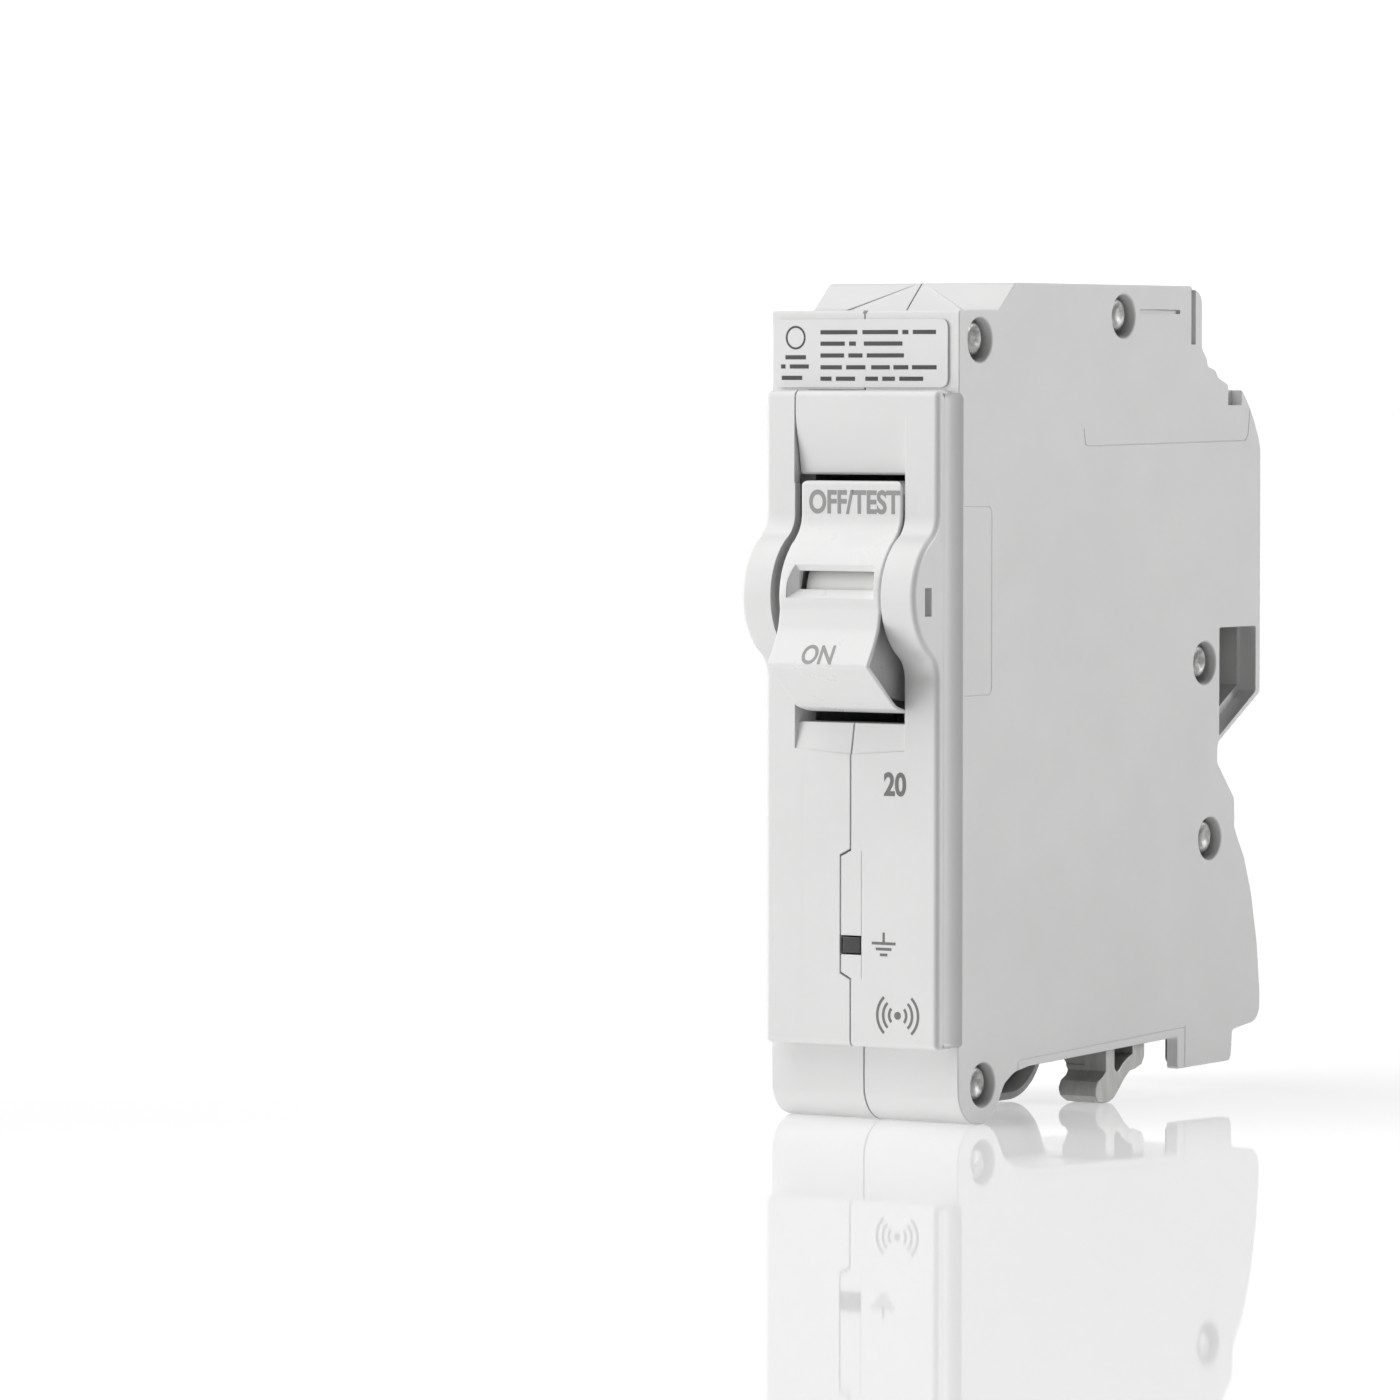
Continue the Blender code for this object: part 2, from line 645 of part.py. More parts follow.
def trip_lever(frame):
    """Bell crank: the rear arm is lifted by the plunger, the finger is pulled by the armature."""
    low, high = -6.9, -4.3
    rear = strip("trip_lever", [TRIP_PIVOT, (33.4, 42.6), (40.6, 41.9)], 2.0, low, high)
    front = strip("front", [TRIP_PIVOT, (29.0, 53.4), (22.0, 54.0), (21.6, 50.2)], 1.5, low, high)
    hub = cylinder("hub", TRIP_PIVOT, 2.1, low, high, sides=20)
    join(rear, front, hub)
    cut(rear, cylinder("hole", TRIP_PIVOT, 0.9 + RUNNING_GAP, low - 1, high + 1))
    finish(rear, NATURAL, frame, at(TRIP_PIVOT))


def springs(frame):
    finish(coil("opening_spring", (-8.1, 27.5, 55.2), (-8.1, 37.0, 55.2), 0.95, 0.22, 9), STEEL, frame)
    low = (-3.9, *TRIP_PIVOT)
    high = (-1.0, *TRIP_PIVOT)
    finish(coil("trip_spring", low, high, 1.45, 0.22, 5), STEEL, frame)
    base = (COIL_X, 22.2, COIL_HIGH + 0.5)
    top = (COIL_X, 22.2, 42.6)
    finish(coil("armature_spring", base, top, 0.65, 0.18, 5, per_turn=8), STEEL, frame)
    base = (SOLENOID_X, SOLENOID_Y, SOLENOID_HIGH + 0.5)
    top = (SOLENOID_X, SOLENOID_Y, 38.4)
    finish(coil("plunger_spring", base, top, 2.15, 0.25, 4), STEEL, frame)


# ---------------------------------------------------------------- overload trip


def overload_trip(frame):
    centre = (COIL_X, COIL_Y)
    finish(tube("trip_coil", centre, 2.75, 4.8, COIL_LOW, COIL_HIGH, "Z"), ENAMEL, frame)
    steps = [(15.2, 1.9), (15.6, 2.4), (40.4, 2.4), (41.2, 1.9)]
    finish(stepped("dashpot_tube", centre, steps, "Z"), STEEL, frame)
    yoke = extruded(
        "coil_yoke",
        [(13.0, 16.2), (25.4, 16.2), (25.4, 42.0), (23.9, 42.0), (23.9, 17.7), (13.0, 17.7)],
        -9.2, -1.6,
    )
    cut(yoke, cylinder("hole", centre, 2.75, 10, 18.5, "Z", sides=20))
    finish(yoke, DARK_STEEL, frame)
    plate = block("armature", (-8.6, 13.4, 43.2), (-2.2, 26.4, 44.3))
    tail = block("tail", (-6.8, 24.6, 43.8), (-4.2, 25.8, 50.9))
    hinge = cylinder("hinge", ARMATURE_PIVOT, 1.7, -8.6, -2.2)
    join(plate, hinge, tail)
    cut(plate, cylinder("hole", ARMATURE_PIVOT, 0.9 + RUNNING_GAP, -12, 0))
    finish(plate, DARK_STEEL, frame, at(ARMATURE_PIVOT))


def arc_chute(frame):
    outline = [(-10.6, 71.4), (-9.9, 71.4), (-9.9, 84.4), (-1.1, 84.4), (-1.1, 71.4), (-0.4, 71.4)]
    outline += [(-0.4, 85.1), (-10.6, 85.1)]
    finish(extruded("arc_frame", outline, 38.2, 52.9, axis="Y"), DARK_FIBRE, frame)
    plate = [(-9.6, 72.0), (-7.4, 72.0), (-5.5, 77.0), (-3.6, 72.0), (-1.4, 72.0)]
    plate += [(-1.4, 84.0), (-9.6, 84.0)]
    for index in range(5):
        front = 39.6 + 3.0 * index
        name = f"arc_plate_{index + 1}"
        finish(extruded(name, plate, front, front + 1.1, axis="Y"), DARK_STEEL, frame)


def conductors(frame):
    route = [(-8.3, 41.4, 55.4), (-8.5, 41.2, 51.6), (-8.5, 39.4, 47.0), (-8.5, 34.6, 43.4)]
    route += [(-8.4, 30.0, 40.0), (-8.2, 27.7, 36.0), (-8.2, 27.2, 32.4)]
    finish(wire("braid", smooth_route(route, 3), 0.85, sides=8), COPPER, frame)
    strap = block("load_strap", (-3.4, 26.5, 17.3), (3.4, 35.7, 18.6))
    join(strap, block("rise", (-9.0, 26.5, 17.3), (-3.0, 27.9, 31.0)))
    finish(strap, COPPER, frame)


def smooth_route(points, between):
    """The points with a few more between each pair, on a Catmull-Rom curve."""
    path = [Vector(point) for point in points]
    padded = [path[0] * 2 - path[1]] + path + [path[-1] * 2 - path[-2]]
    made = []
    for index in range(1, len(padded) - 2):
        a, b, c, d = padded[index - 1 : index + 3]
        for step in range(between):
            t = step / between
            made.append(
                0.5 * (2 * b + (c - a) * t + (2 * a - 5 * b + 4 * c - d) * t * t
                       + (3 * b - a - 3 * c + d) * t ** 3)
            )
    return made + [path[-1]]


# ---------------------------------------------------------------- jaws and clips


def load_jaw(frame):
    """U-shaped jaw under the skirt, and its conductor up through the sensor rings."""
    outline = [(36.1, 9.6), (36.1, 3.6), (35.2, 2.9), (34.1, 2.5), (33.7, 1.6), (33.8, 0.7)]
    outline += [(34.5, 0.1), (36.4, 0.0), (37.4, 0.2), (38.4, 0.9), (39.7, 2.1), (41.0, 3.3)]
    outline += [(42.8, 3.5), (44.3, 4.0), (44.9, 4.9), (44.9, 7.8), (42.2, 7.8), (42.2, 5.3)]
    outline += [(41.0, 5.0), (40.1, 4.6), (39.2, 3.7), (38.6, 3.5), (38.1, 4.0), (38.1, 9.6)]
    jaw = extruded("load_jaw", outline, 4.6, 10.5)
    bridge = block("bridge", (1.0, 36.1, 8.9), (10.5, 37.7, 10.3))
    riser = block("riser", (1.0, 36.1, 9.2), (3.4, 37.7, 18.6))
    finish(join(jaw, bridge, riser), TIN, frame)


def neutral_clip(frame):
    """Flat clip inside the lobe, and its conductor up through the sensor rings."""
    plate = [(23.0, 2.1), (32.4, 2.1), (36.0, 3.4), (38.0, 6.0), (38.4, 9.2), (20.0, 9.2), (20.0, 4.6)]
    clip = extruded("neutral_clip", plate, -2.7, -1.3)
    riser = block("riser", (-3.0, 31.0, 8.2), (-1.2, 33.0, 16.6))
    finish(join(clip, riser), TIN, frame)


def rail_clip(frame):
    """Dark spring blade that hangs through the bottom wall, beside the rear flange."""
    outline = [(49.9, 4.2), (50.5, 3.6), (55.4, 3.6), (56.0, 4.2), (56.0, 14.0), (49.9, 14.0)]
    finish(extruded("rail_clip", outline, 10.3, 10.9), DARK_STEEL, frame)


# ---------------------------------------------------------------- ground-fault electronics


def ground_fault_trip(frame):
    for index, name in enumerate(("gf_sensor", "neutral_sensor")):
        low = SENSOR_LOW + index * (SENSOR_THICK + 0.3)
        ring = tube(name, SENSOR_CENTRE, SENSOR_INNER, SENSOR_OUTER, low, low + SENSOR_THICK, "Z", 32)
        finish(ring, BLUE, frame)
    centre = (SOLENOID_X, SOLENOID_Y)
    finish(tube("gf_solenoid", centre, 1.9, 4.4, SOLENOID_LOW, SOLENOID_HIGH, "Z"), ENAMEL, frame)
    steps = [(24.0, 1.6), (38.9, 1.6), (38.9, 2.6), (40.4, 2.6)]
    finish(stepped("gf_plunger", centre, steps, "Z"), STEEL, frame, (*centre, 38.9))


def circuit_board(frame):
    outline = [(3.6, 22.0), (6.0, 19.6), (45.6, 19.6), (45.6, 85.0), (9.0, 85.0), (3.6, 79.6)]
    board = extruded("circuit_board", outline, BOARD_X, BOARD_X + BOARD_THICK)
    finish(board, BOARD, frame)
    face = BOARD_X - TOUCH_GAP
    finish(block("wireless_module", (5.4, 26.0, 64.0), (face, 40.0, 84.0)), STEEL, frame)
    finish(block("controller_chip", (6.8, 28.0, 44.0), (face, 37.0, 53.0)), BLACK, frame)
    finish(block("power_converter", (2.6, 17.0, 62.0), (face, 24.5, 76.0)), BLACK, frame)
    finish(cylinder("varistor", (22.0, 30.0), 5.6, 3.4, face, sides=24), BLUE, frame)
    finish(cylinder("capacitor", (5.2, 41.0), 2.7, 24.0, 37.0, "Z", sides=20), BLACK, frame)


def indicator(frame):
    """The light behind the indicator window, on its own small board."""
    finish(block("led_board", (-5.8, 8.6, 13.6), (7.6, 9.8, 27.4)), BOARD, frame)
    steps = [(2.6, 0.6), (3.1, 1.2), (6.9, 1.5), (7.4, 1.8), (8.55, 1.8)]
    finish(stepped("led", (0.08, 20.4), steps, "Y"), LED_WHITE, frame)


def main():
    clear_scene()
    frame = bpy.data.objects.new("breaker_frame", None)
    bpy.context.collection.objects.link(frame)
    frame.location = Vector((0.0, -(NOSE[0] + REAR_MOST) / 2, 0.0)) * MM
    case_shells(frame)
    rivets(frame)
    front_label(frame)
    status_lens(frame)
    handle(frame)
    handle_pins(frame)
    status_flag(frame)
    handle_link(frame)
    contact_arm(frame)
    line_terminal(frame)
    mechanism_frame(frame)
    divider_plate(frame)
    trip_lever(frame)
    springs(frame)
    overload_trip(frame)
    arc_chute(frame)
    conductors(frame)
    load_jaw(frame)
    neutral_clip(frame)
    rail_clip(frame)
    ground_fault_trip(frame)
    circuit_board(frame)
    indicator(frame)
    bpy.context.view_layer.update()


main()
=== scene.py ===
"""Looks of the plug-on ground-fault breaker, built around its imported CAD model.

Shapes are drawn in millimetres in the breaker's own coordinates: X across, Y from the front face (0) to
the rear, Z from the foot (0) to the top. DEPTH_SHIFT takes them to the row frame, where the middle of
the depth is at Y = 0.
"""

import json
import math

import bmesh
import bpy
from mathutils import Matrix, Vector


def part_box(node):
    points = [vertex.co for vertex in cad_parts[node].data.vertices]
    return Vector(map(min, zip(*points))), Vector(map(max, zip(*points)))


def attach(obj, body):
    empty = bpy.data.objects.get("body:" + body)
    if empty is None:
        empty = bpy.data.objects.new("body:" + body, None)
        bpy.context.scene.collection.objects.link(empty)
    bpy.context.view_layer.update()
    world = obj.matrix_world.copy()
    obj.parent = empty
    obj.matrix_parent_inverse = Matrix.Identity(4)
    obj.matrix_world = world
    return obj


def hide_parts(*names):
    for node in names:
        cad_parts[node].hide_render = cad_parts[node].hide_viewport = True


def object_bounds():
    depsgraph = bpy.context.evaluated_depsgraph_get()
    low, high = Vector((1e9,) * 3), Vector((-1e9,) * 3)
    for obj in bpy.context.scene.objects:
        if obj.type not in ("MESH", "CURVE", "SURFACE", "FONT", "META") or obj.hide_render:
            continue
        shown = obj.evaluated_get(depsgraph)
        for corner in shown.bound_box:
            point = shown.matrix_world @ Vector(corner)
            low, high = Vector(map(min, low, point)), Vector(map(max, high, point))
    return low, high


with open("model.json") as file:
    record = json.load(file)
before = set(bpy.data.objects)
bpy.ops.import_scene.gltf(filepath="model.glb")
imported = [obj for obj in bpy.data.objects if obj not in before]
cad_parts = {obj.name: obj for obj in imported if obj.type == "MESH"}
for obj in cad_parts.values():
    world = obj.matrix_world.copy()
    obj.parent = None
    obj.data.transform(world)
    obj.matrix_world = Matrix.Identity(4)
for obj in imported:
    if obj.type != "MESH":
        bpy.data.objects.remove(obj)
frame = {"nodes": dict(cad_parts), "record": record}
cad_low, cad_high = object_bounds()

MM = 0.001

# Case
HALF_WIDTH = 12.7
TOP = 95.9
LEDGE = 92.7
REAR = 68.0
REAR_MOST = 68.2
WALL = 1.6
SEAM_GAP = 0.20
LIP_GROW, LIP_ROOT, LIP_BITE = 0.9, 0.1, 0.05
DEPTH_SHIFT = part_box("case_right")[1].y / MM - REAR_MOST

# Bezel and the window that the handle fills
BEZEL_PROUD = 2.9
BEZEL_SIDE = 11.75
BEZEL_LOW, BEZEL_HIGH = 8.8, 83.6
BEZEL_ROUND = 0.65
COVE_RADIUS = 3.77
COVE_FRONT, COVE_REAR = -1.6, 0.9
WINDOW_LEFT, WINDOW_RIGHT = -7.6, 7.3
WINDOW_LOW, WINDOW_HIGH = 45.7, 74.0
PAD_LOW = 42.1
TONGUE_LEFT, TONGUE_RIGHT = -1.36, 1.47
TONGUE_LOW, TONGUE_HIGH = 16.6, 31.2

# Handle
PIVOT = (0.0, 60.2)
EAR_RADIUS = 8.0
EAR_BLEND = 3.2
HANDLE_LEFT, HANDLE_RIGHT = -6.6, 7.05
HANDLE_TOP = 73.3
SHIELD_RADIUS = 13.35
SHIELD_WALL = 1.45
NOSE = (-10.4, 52.4)
HANDLE_WALL = 1.5
HANDLE_SIDE = 1.3
FLAG_RADIUS = 5.9
FLAG_LEFT, FLAG_RIGHT = -4.2, 5.6
PIN_RADIUS = 1.2
CRANK = (5.0 * math.cos(math.radians(-14)), PIVOT[1] + 5.0 * math.sin(math.radians(-14)))

# Rivets, as (Y, Z)
RIVETS = {
    "rivet_top_front": (4.4, 89.3),
    "rivet_top_rear": (36.0, 92.2),
    "rivet_rear_upper": (54.9, 51.15),
    "rivet_rear_lower": (56.2, 30.2),
    "rivet_foot": (5.3, 4.4),
}
RIVET_SHANK = 1.1
RIVET_HOLE = 1.4
RIVET_HEAD = 1.95
COUNTERBORE = 2.45
COUNTERBORE_DEPTH = 3.6
RIVET_SUNK = 0.8
RIVET_RAISED = 0.2
BOSS_RADIUS = 3.3

# Labels and printed marks
PRINT_PROUD, PRINT_DEEP = 0.015, 0.02

# Camera: the three-quarter view, turned from straight on by the yaw
CAMERA_YAW = 34.01
CAMERA_PITCH = 2.26
CAMERA_ROLL = 0.04
CAMERA_DISTANCE = 945.5
CAMERA_LENS = 207.38
AIM = (0.0, 30.0, 46.0)
AIM_RIGHT, AIM_UP = -35.563, 1.286


# ---------------------------------------------------------------- outlines


def arc(centre, radius, start, end, steps):
    """Points on a circle, angles in degrees from the first coordinate towards the second."""
    points = []
    for step in range(steps + 1):
        angle = math.radians(start + (end - start) * step / steps)
        points.append((centre[0] + radius * math.cos(angle), centre[1] + radius * math.sin(angle)))
    return points


def rectangle(low, high):
    return [low, (high[0], low[1]), high, (low[0], high[1])]


def soften(outline, reach, steps=3, least=18):
    """The outline with each corner that turns by more than least degrees rounded off."""
    made = []
    for index, point in enumerate(outline):
        here = Vector(point)
        arriving = here - Vector(outline[index - 1])
        leaving = Vector(outline[(index + 1) % len(outline)]) - here
        if math.degrees(arriving.angle(leaving)) < least:
            made.append(tuple(here))
            continue
        cut_back = min(reach, 0.4 * arriving.length, 0.4 * leaving.length)
        start = here - arriving.normalized() * cut_back
        end = here + leaving.normalized() * cut_back
        for step in range(steps + 1):
            t = step / steps
            made.append(tuple(start * (1 - t) ** 2 + here * 2 * t * (1 - t) + end * t * t))
    return made


def inset(outline, distance):
    """The outline moved inwards by the distance."""
    points = [Vector(point) for point in outline]
    area = sum(a.x * b.y - b.x * a.y for a, b in zip(points, points[1:] + points[:1]))
    side = 1 if area > 0 else -1
    made = []
    for index, here in enumerate(points):
        arriving = (here - points[index - 1]).normalized()
        leaving = (points[(index + 1) % len(points)] - here).normalized()
        first = Vector((-arriving.y, arriving.x)) * side
        second = Vector((-leaving.y, leaving.x)) * side
        move = (first + second) / max(1 + first.dot(second), 0.4)
        made.append(tuple(here + move * distance))
    return made


# ---------------------------------------------------------------- solids


def mesh_object(name, bm):
    bmesh.ops.recalc_face_normals(bm, faces=bm.faces)
    mesh = bpy.data.meshes.new(name)
    bm.to_mesh(mesh)
    bm.free()
    made = bpy.data.objects.new(name, mesh)
    bpy.context.scene.collection.objects.link(made)
    return made


def along_axis(axis, a, b, along):
    """A point from its two coordinates across the axis and the one along it."""
    where = {"X": (along, a, b), "Y": (a, along, b), "Z": (a, b, along)}[axis]
    return Vector(where) * MM


def skinned(name, rings):
    """A closed solid through rings of points, which all have as many points."""
    bm = bmesh.new()
    loops = [[bm.verts.new(point) for point in ring] for ring in rings]
    for lower, upper in zip(loops, loops[1:]):
        for index in range(len(lower)):
            other = (index + 1) % len(lower)
            bm.faces.new((lower[index], lower[other], upper[other], upper[index]))
    bm.faces.new(loops[0])
    bm.faces.new(loops[-1][::-1])
    return mesh_object(name, bm)


def prism(name, outline, low, high, axis="X", round_low=0.0, round_high=0.0, steps=4):
    """The outline run along the axis from low to high, with its end rims rounded."""
    layers = []
    if round_low:
        for step in range(steps, 0, -1):
            angle = math.pi / 2 * step / steps
            layers.append((low + round_low * (1 - math.sin(angle)), round_low * (1 - math.cos(angle))))
        layers.append((low + round_low, 0.0))
    else:
        layers.append((low, 0.0))
    if round_high:
        layers.append((high - round_high, 0.0))
        for step in range(1, steps + 1):
            angle = math.pi / 2 * step / steps
            layers.append((high - round_high * (1 - math.sin(angle)), round_high * (1 - math.cos(angle))))
    else:
        layers.append((high, 0.0))
    rings = []
    for along, depth in layers:
        shape = inset(outline, depth) if depth else outline
        rings.append([along_axis(axis, a, b, along) for a, b in shape])
    return skinned(name, rings)


def block(name, low, high, rounded=0.0):
    outline = rectangle(low[1:], high[1:])
    if rounded:
        outline = soften(outline, rounded)
    return prism(name, outline, low[0], high[0], "X", rounded, rounded)


def turned(name, centre, steps, axis="X", sides=40):
    """A turned piece along an axis, from (position, radius) steps, with closed ends."""
    rings = []
    for along, radius in steps:
        circle = arc(centre, radius, 0, 360 - 360 / sides, sides - 1)
        rings.append([along_axis(axis, a, b, along) for a, b in circle])
    return skinned(name, rings)


def cylinder(name, centre, radius, low, high, axis="X", sides=32):
    return turned(name, centre, [(low, radius), (high, radius)], axis, sides)


def hull(name, points):
    bm = bmesh.new()
    for point in points:
        bm.verts.new(Vector(point) * MM)
    bmesh.ops.convex_hull(bm, input=bm.verts)
    return mesh_object(name, bm)


def strip(path, width):
    """The outline of a flat bar of this width bent along the path."""
    left, right = [], []
    for index, point in enumerate(path):
        before = Vector(path[max(index - 1, 0)])
        after = Vector(path[min(index + 1, len(path) - 1)])
        ahead = (after - before).normalized()
        aside = Vector((-ahead.y, ahead.x)) * width / 2
        left.append((point[0] + aside.x, point[1] + aside.y))
        right.append((point[0] - aside.x, point[1] - aside.y))
    return left + right[::-1]


def boolean(target, operation, others):
    for other in others:
        modifier = target.modifiers.new("boolean", "BOOLEAN")
        modifier.operation = operation
        modifier.object = other
        graph = bpy.context.evaluated_depsgraph_get()
        mesh = bpy.data.meshes.new_from_object(target.evaluated_get(graph))
        target.modifiers.clear()
        target.data = mesh
        bpy.data.objects.remove(other)
    return target


def cut(target, *cutters):
    return boolean(target, "DIFFERENCE", cutters)


def join(target, *others):
    return boolean(target, "UNION", others)


def keep(target, region):
    return boolean(target, "INTERSECT", [region])


def finish(piece, material, body, slot, *nodes, sharp=32):
    """Takes a piece to the row frame, gives it its material and smooth shading, and ties it to its body."""
    piece.data.transform(Matrix.Translation((0.0, DEPTH_SHIFT * MM, 0.0)))
    piece.data.materials.clear()
    piece.data.materials.append(material)
    piece.data.shade_smooth()
    piece.data.set_sharp_from_angle(angle=math.radians(sharp))
    weighted = piece.modifiers.new("face normals", "WEIGHTED_NORMAL")
    weighted.keep_sharp = True
    weighted.weight = 80
    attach(piece, body)
    if nodes:
        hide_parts(*nodes)
    return piece


# ---------------------------------------------------------------- materials


def node(tree, kind, **settings):
    made = tree.nodes.new(kind)
    for key, value in settings.items():
        if hasattr(made, key):
            setattr(made, key, value)
        else:
            made.inputs[key.replace("_", " ")].default_value = value
    return made


def ramp(tree, source, low, high, at=(0.35, 0.65)):
    """A colour ramp between two greys or colours, fed by a value."""
    made = tree.nodes.new("ShaderNodeValToRGB")
    for element, position, colour in zip(made.color_ramp.elements, at, (low, high)):
        element.position = position
        element.color = (*colour, 1.0) if isinstance(colour, tuple) else (colour, colour, colour, 1.0)
    tree.links.new(source, made.inputs["Fac"])
    return made.outputs["Color"]


def blank(name, metallic=0.0):
    made = bpy.data.materials.new(name)
    made.use_nodes = True
    shader = made.node_tree.nodes["Principled BSDF"]
    shader.inputs["Metallic"].default_value = metallic
    coordinates = made.node_tree.nodes.new("ShaderNodeTexCoord")
    return made, made.node_tree, shader, coordinates.outputs["Object"]


def noise(tree, coordinates, scale, detail=3.0, roughness=0.55):
    made = node(tree, "ShaderNodeTexNoise", Scale=scale, Detail=detail, Roughness=roughness)
    tree.links.new(coordinates, made.inputs["Vector"])
    return made.outputs["Fac"]


def bump(tree, shader, height, strength, distance, edge=0.0):
    """Bumps the shader's normal. A positive edge also rounds the sharp edges by that radius, in mm."""
    made = node(tree, "ShaderNodeBump", Strength=strength, Distance=distance * MM)
    tree.links.new(height, made.inputs["Height"])
    if edge:
        rounded = node(tree, "ShaderNodeBevel", samples=6, Radius=edge * MM)
        tree.links.new(rounded.outputs["Normal"], made.inputs["Normal"])
    tree.links.new(made.outputs["Normal"], shader.inputs["Normal"])


def shade(colour, factor):
    return tuple(min(1.0, channel * factor) for channel in colour)


def plastic(name, colour, roughness, grain=0.02, edge=0.12):
    """Moulded plastic: faint cloudy tone, satin patches and a fine spark-eroded grain."""
    made, tree, shader, coordinates = blank(name)
    cloud = noise(tree, coordinates, 70, 4.0)
    tone = ramp(tree, cloud, shade(colour, 0.965), colour)
    tree.links.new(tone, shader.inputs["Base Color"])
    patches = noise(tree, coordinates, 240, 5.0)
    tree.links.new(ramp(tree, patches, roughness * 0.88, roughness * 1.12), shader.inputs["Roughness"])
    bump(tree, shader, noise(tree, coordinates, 2600, 2.0), 0.25, grain, edge)
    return made


def metal(name, colour, roughness, stretch=(1.0, 1.0, 1.0), mottled=0.8, edge=0.08, metallic=1.0):
    """Rolled or plated metal: stretched grain lines, mottled tone and uneven polish."""
    made, tree, shader, coordinates = blank(name, metallic)
    mapping = node(tree, "ShaderNodeMapping")
    mapping.inputs["Scale"].default_value = stretch
    tree.links.new(coordinates, mapping.inputs["Vector"])
    spots = noise(tree, mapping.outputs["Vector"], 900, 6.0, 0.65)
    tone = ramp(tree, spots, shade(colour, mottled), shade(colour, 1.08), (0.3, 0.7))
    tree.links.new(tone, shader.inputs["Base Color"])
    polish = noise(tree, mapping.outputs["Vector"], 1500, 4.0)
    tree.links.new(ramp(tree, polish, roughness * 0.75, roughness * 1.3), shader.inputs["Roughness"])
    bump(tree, shader, polish, 0.35, 0.03, edge)
    return made


def winding(name, colour, pitch):
    """Enamelled wire wound in close turns, stacked along Z at the pitch in mm."""
    made, tree, shader, coordinates = blank(name, metallic=0.7)
    turns = node(tree, "ShaderNodeTexWave", bands_direction="Z", Scale=math.pi / (10 * pitch * MM))
    turns.inputs["Distortion"].default_value = 0.6
    tree.links.new(coordinates, turns.inputs["Vector"])
    tone = ramp(tree, turns.outputs["Fac"], shade(colour, 0.35), colour, (0.1, 0.6))
    tree.links.new(tone, shader.inputs["Base Color"])
    shader.inputs["Roughness"].default_value = 0.3
    bump(tree, shader, turns.outputs["Fac"], 0.8, 0.12)
    return made


def laminate(name, colour):
    """Circuit board: solder mask over a glass weave, with copper tracks just showing through."""
    made, tree, shader, coordinates = blank(name)
    tracks = node(tree, "ShaderNodeTexVoronoi", feature="DISTANCE_TO_EDGE", Scale=420.0)
    tree.links.new(coordinates, tracks.inputs["Vector"])
    tone = ramp(tree, tracks.outputs["Distance"], shade(colour, 1.9), colour, (0.05, 0.09))
    tree.links.new(tone, shader.inputs["Base Color"])
    weave = noise(tree, coordinates, 1800, 2.0)
    tree.links.new(ramp(tree, weave, 0.28, 0.42), shader.inputs["Roughness"])
    bump(tree, shader, tracks.outputs["Distance"], 0.3, 0.05)
    return made


WHITE = (0.80, 0.80, 0.795)


def make_materials():
    """One material for each of the record's slots, and three inks for the printed marks."""
    return {
        "white_plastic": plastic("white_plastic", WHITE, 0.36),
        "handle_plastic": plastic("handle_plastic", (0.81, 0.81, 0.805), 0.30),
        "label_film": plastic("label_film", (0.82, 0.82, 0.82), 0.42, 0.008, 0.03),
        "flag_plastic": plastic("flag_plastic", (0.82, 0.82, 0.80), 0.5),
        "dark_lens": plastic("dark_lens", (0.006, 0.006, 0.007), 0.12, 0.004, 0.05),
        "natural_plastic": plastic("natural_plastic", (0.70, 0.69, 0.63), 0.45, 0.03),
        "dark_fibre": plastic("dark_fibre", (0.09, 0.06, 0.045), 0.75, 0.08),
        "black_component": plastic("black_component", (0.018, 0.018, 0.02), 0.4, 0.03),
        "blue_resin": plastic("blue_resin", (0.04, 0.10, 0.30), 0.35, 0.03),
        "led_lens": plastic("led_lens", (0.75, 0.80, 0.75), 0.15, 0.005),
        "rivet_steel": metal("rivet_steel", (0.24, 0.24, 0.235), 0.5, mottled=0.45),
        "dark_steel": metal("dark_steel", (0.10, 0.095, 0.09), 0.45, (1.0, 1.0, 0.2)),
        "steel": metal("steel", (0.56, 0.56, 0.57), 0.32, (0.15, 1.0, 1.0)),
        "copper": metal("copper", (0.72, 0.36, 0.22), 0.3, (1.0, 1.0, 0.2)),
        "silver_contact": metal("silver_contact", (0.80, 0.79, 0.76), 0.28),
        "tin_plate": metal("tin_plate", (0.46, 0.46, 0.445), 0.45, (1.0, 1.0, 0.25), 0.8, metallic=0.2),
        "copper_winding": winding("copper_winding", (0.50, 0.16, 0.06), 0.65),
        "board_laminate": laminate("board_laminate", (0.02, 0.13, 0.06)),
        "print": plastic("print", (0.17, 0.17, 0.165), 0.6, 0.01, 0.0),
        "print_pale": plastic("print_pale", (0.33, 0.33, 0.325), 0.6, 0.01, 0.0),
        "print_dark": plastic("print_dark", (0.04, 0.04, 0.04), 0.6, 0.01, 0.0),
    }


def dress_cad_nodes(materials):
    """Each CAD node that stays in sight takes the procedural material of its slot."""
    for row in frame["record"]["subparts"]:
        mesh = frame["nodes"][row["node"]].data
        mesh.materials.clear()
        mesh.materials.append(materials[row["material_slot"]])


# ---------------------------------------------------------------- case


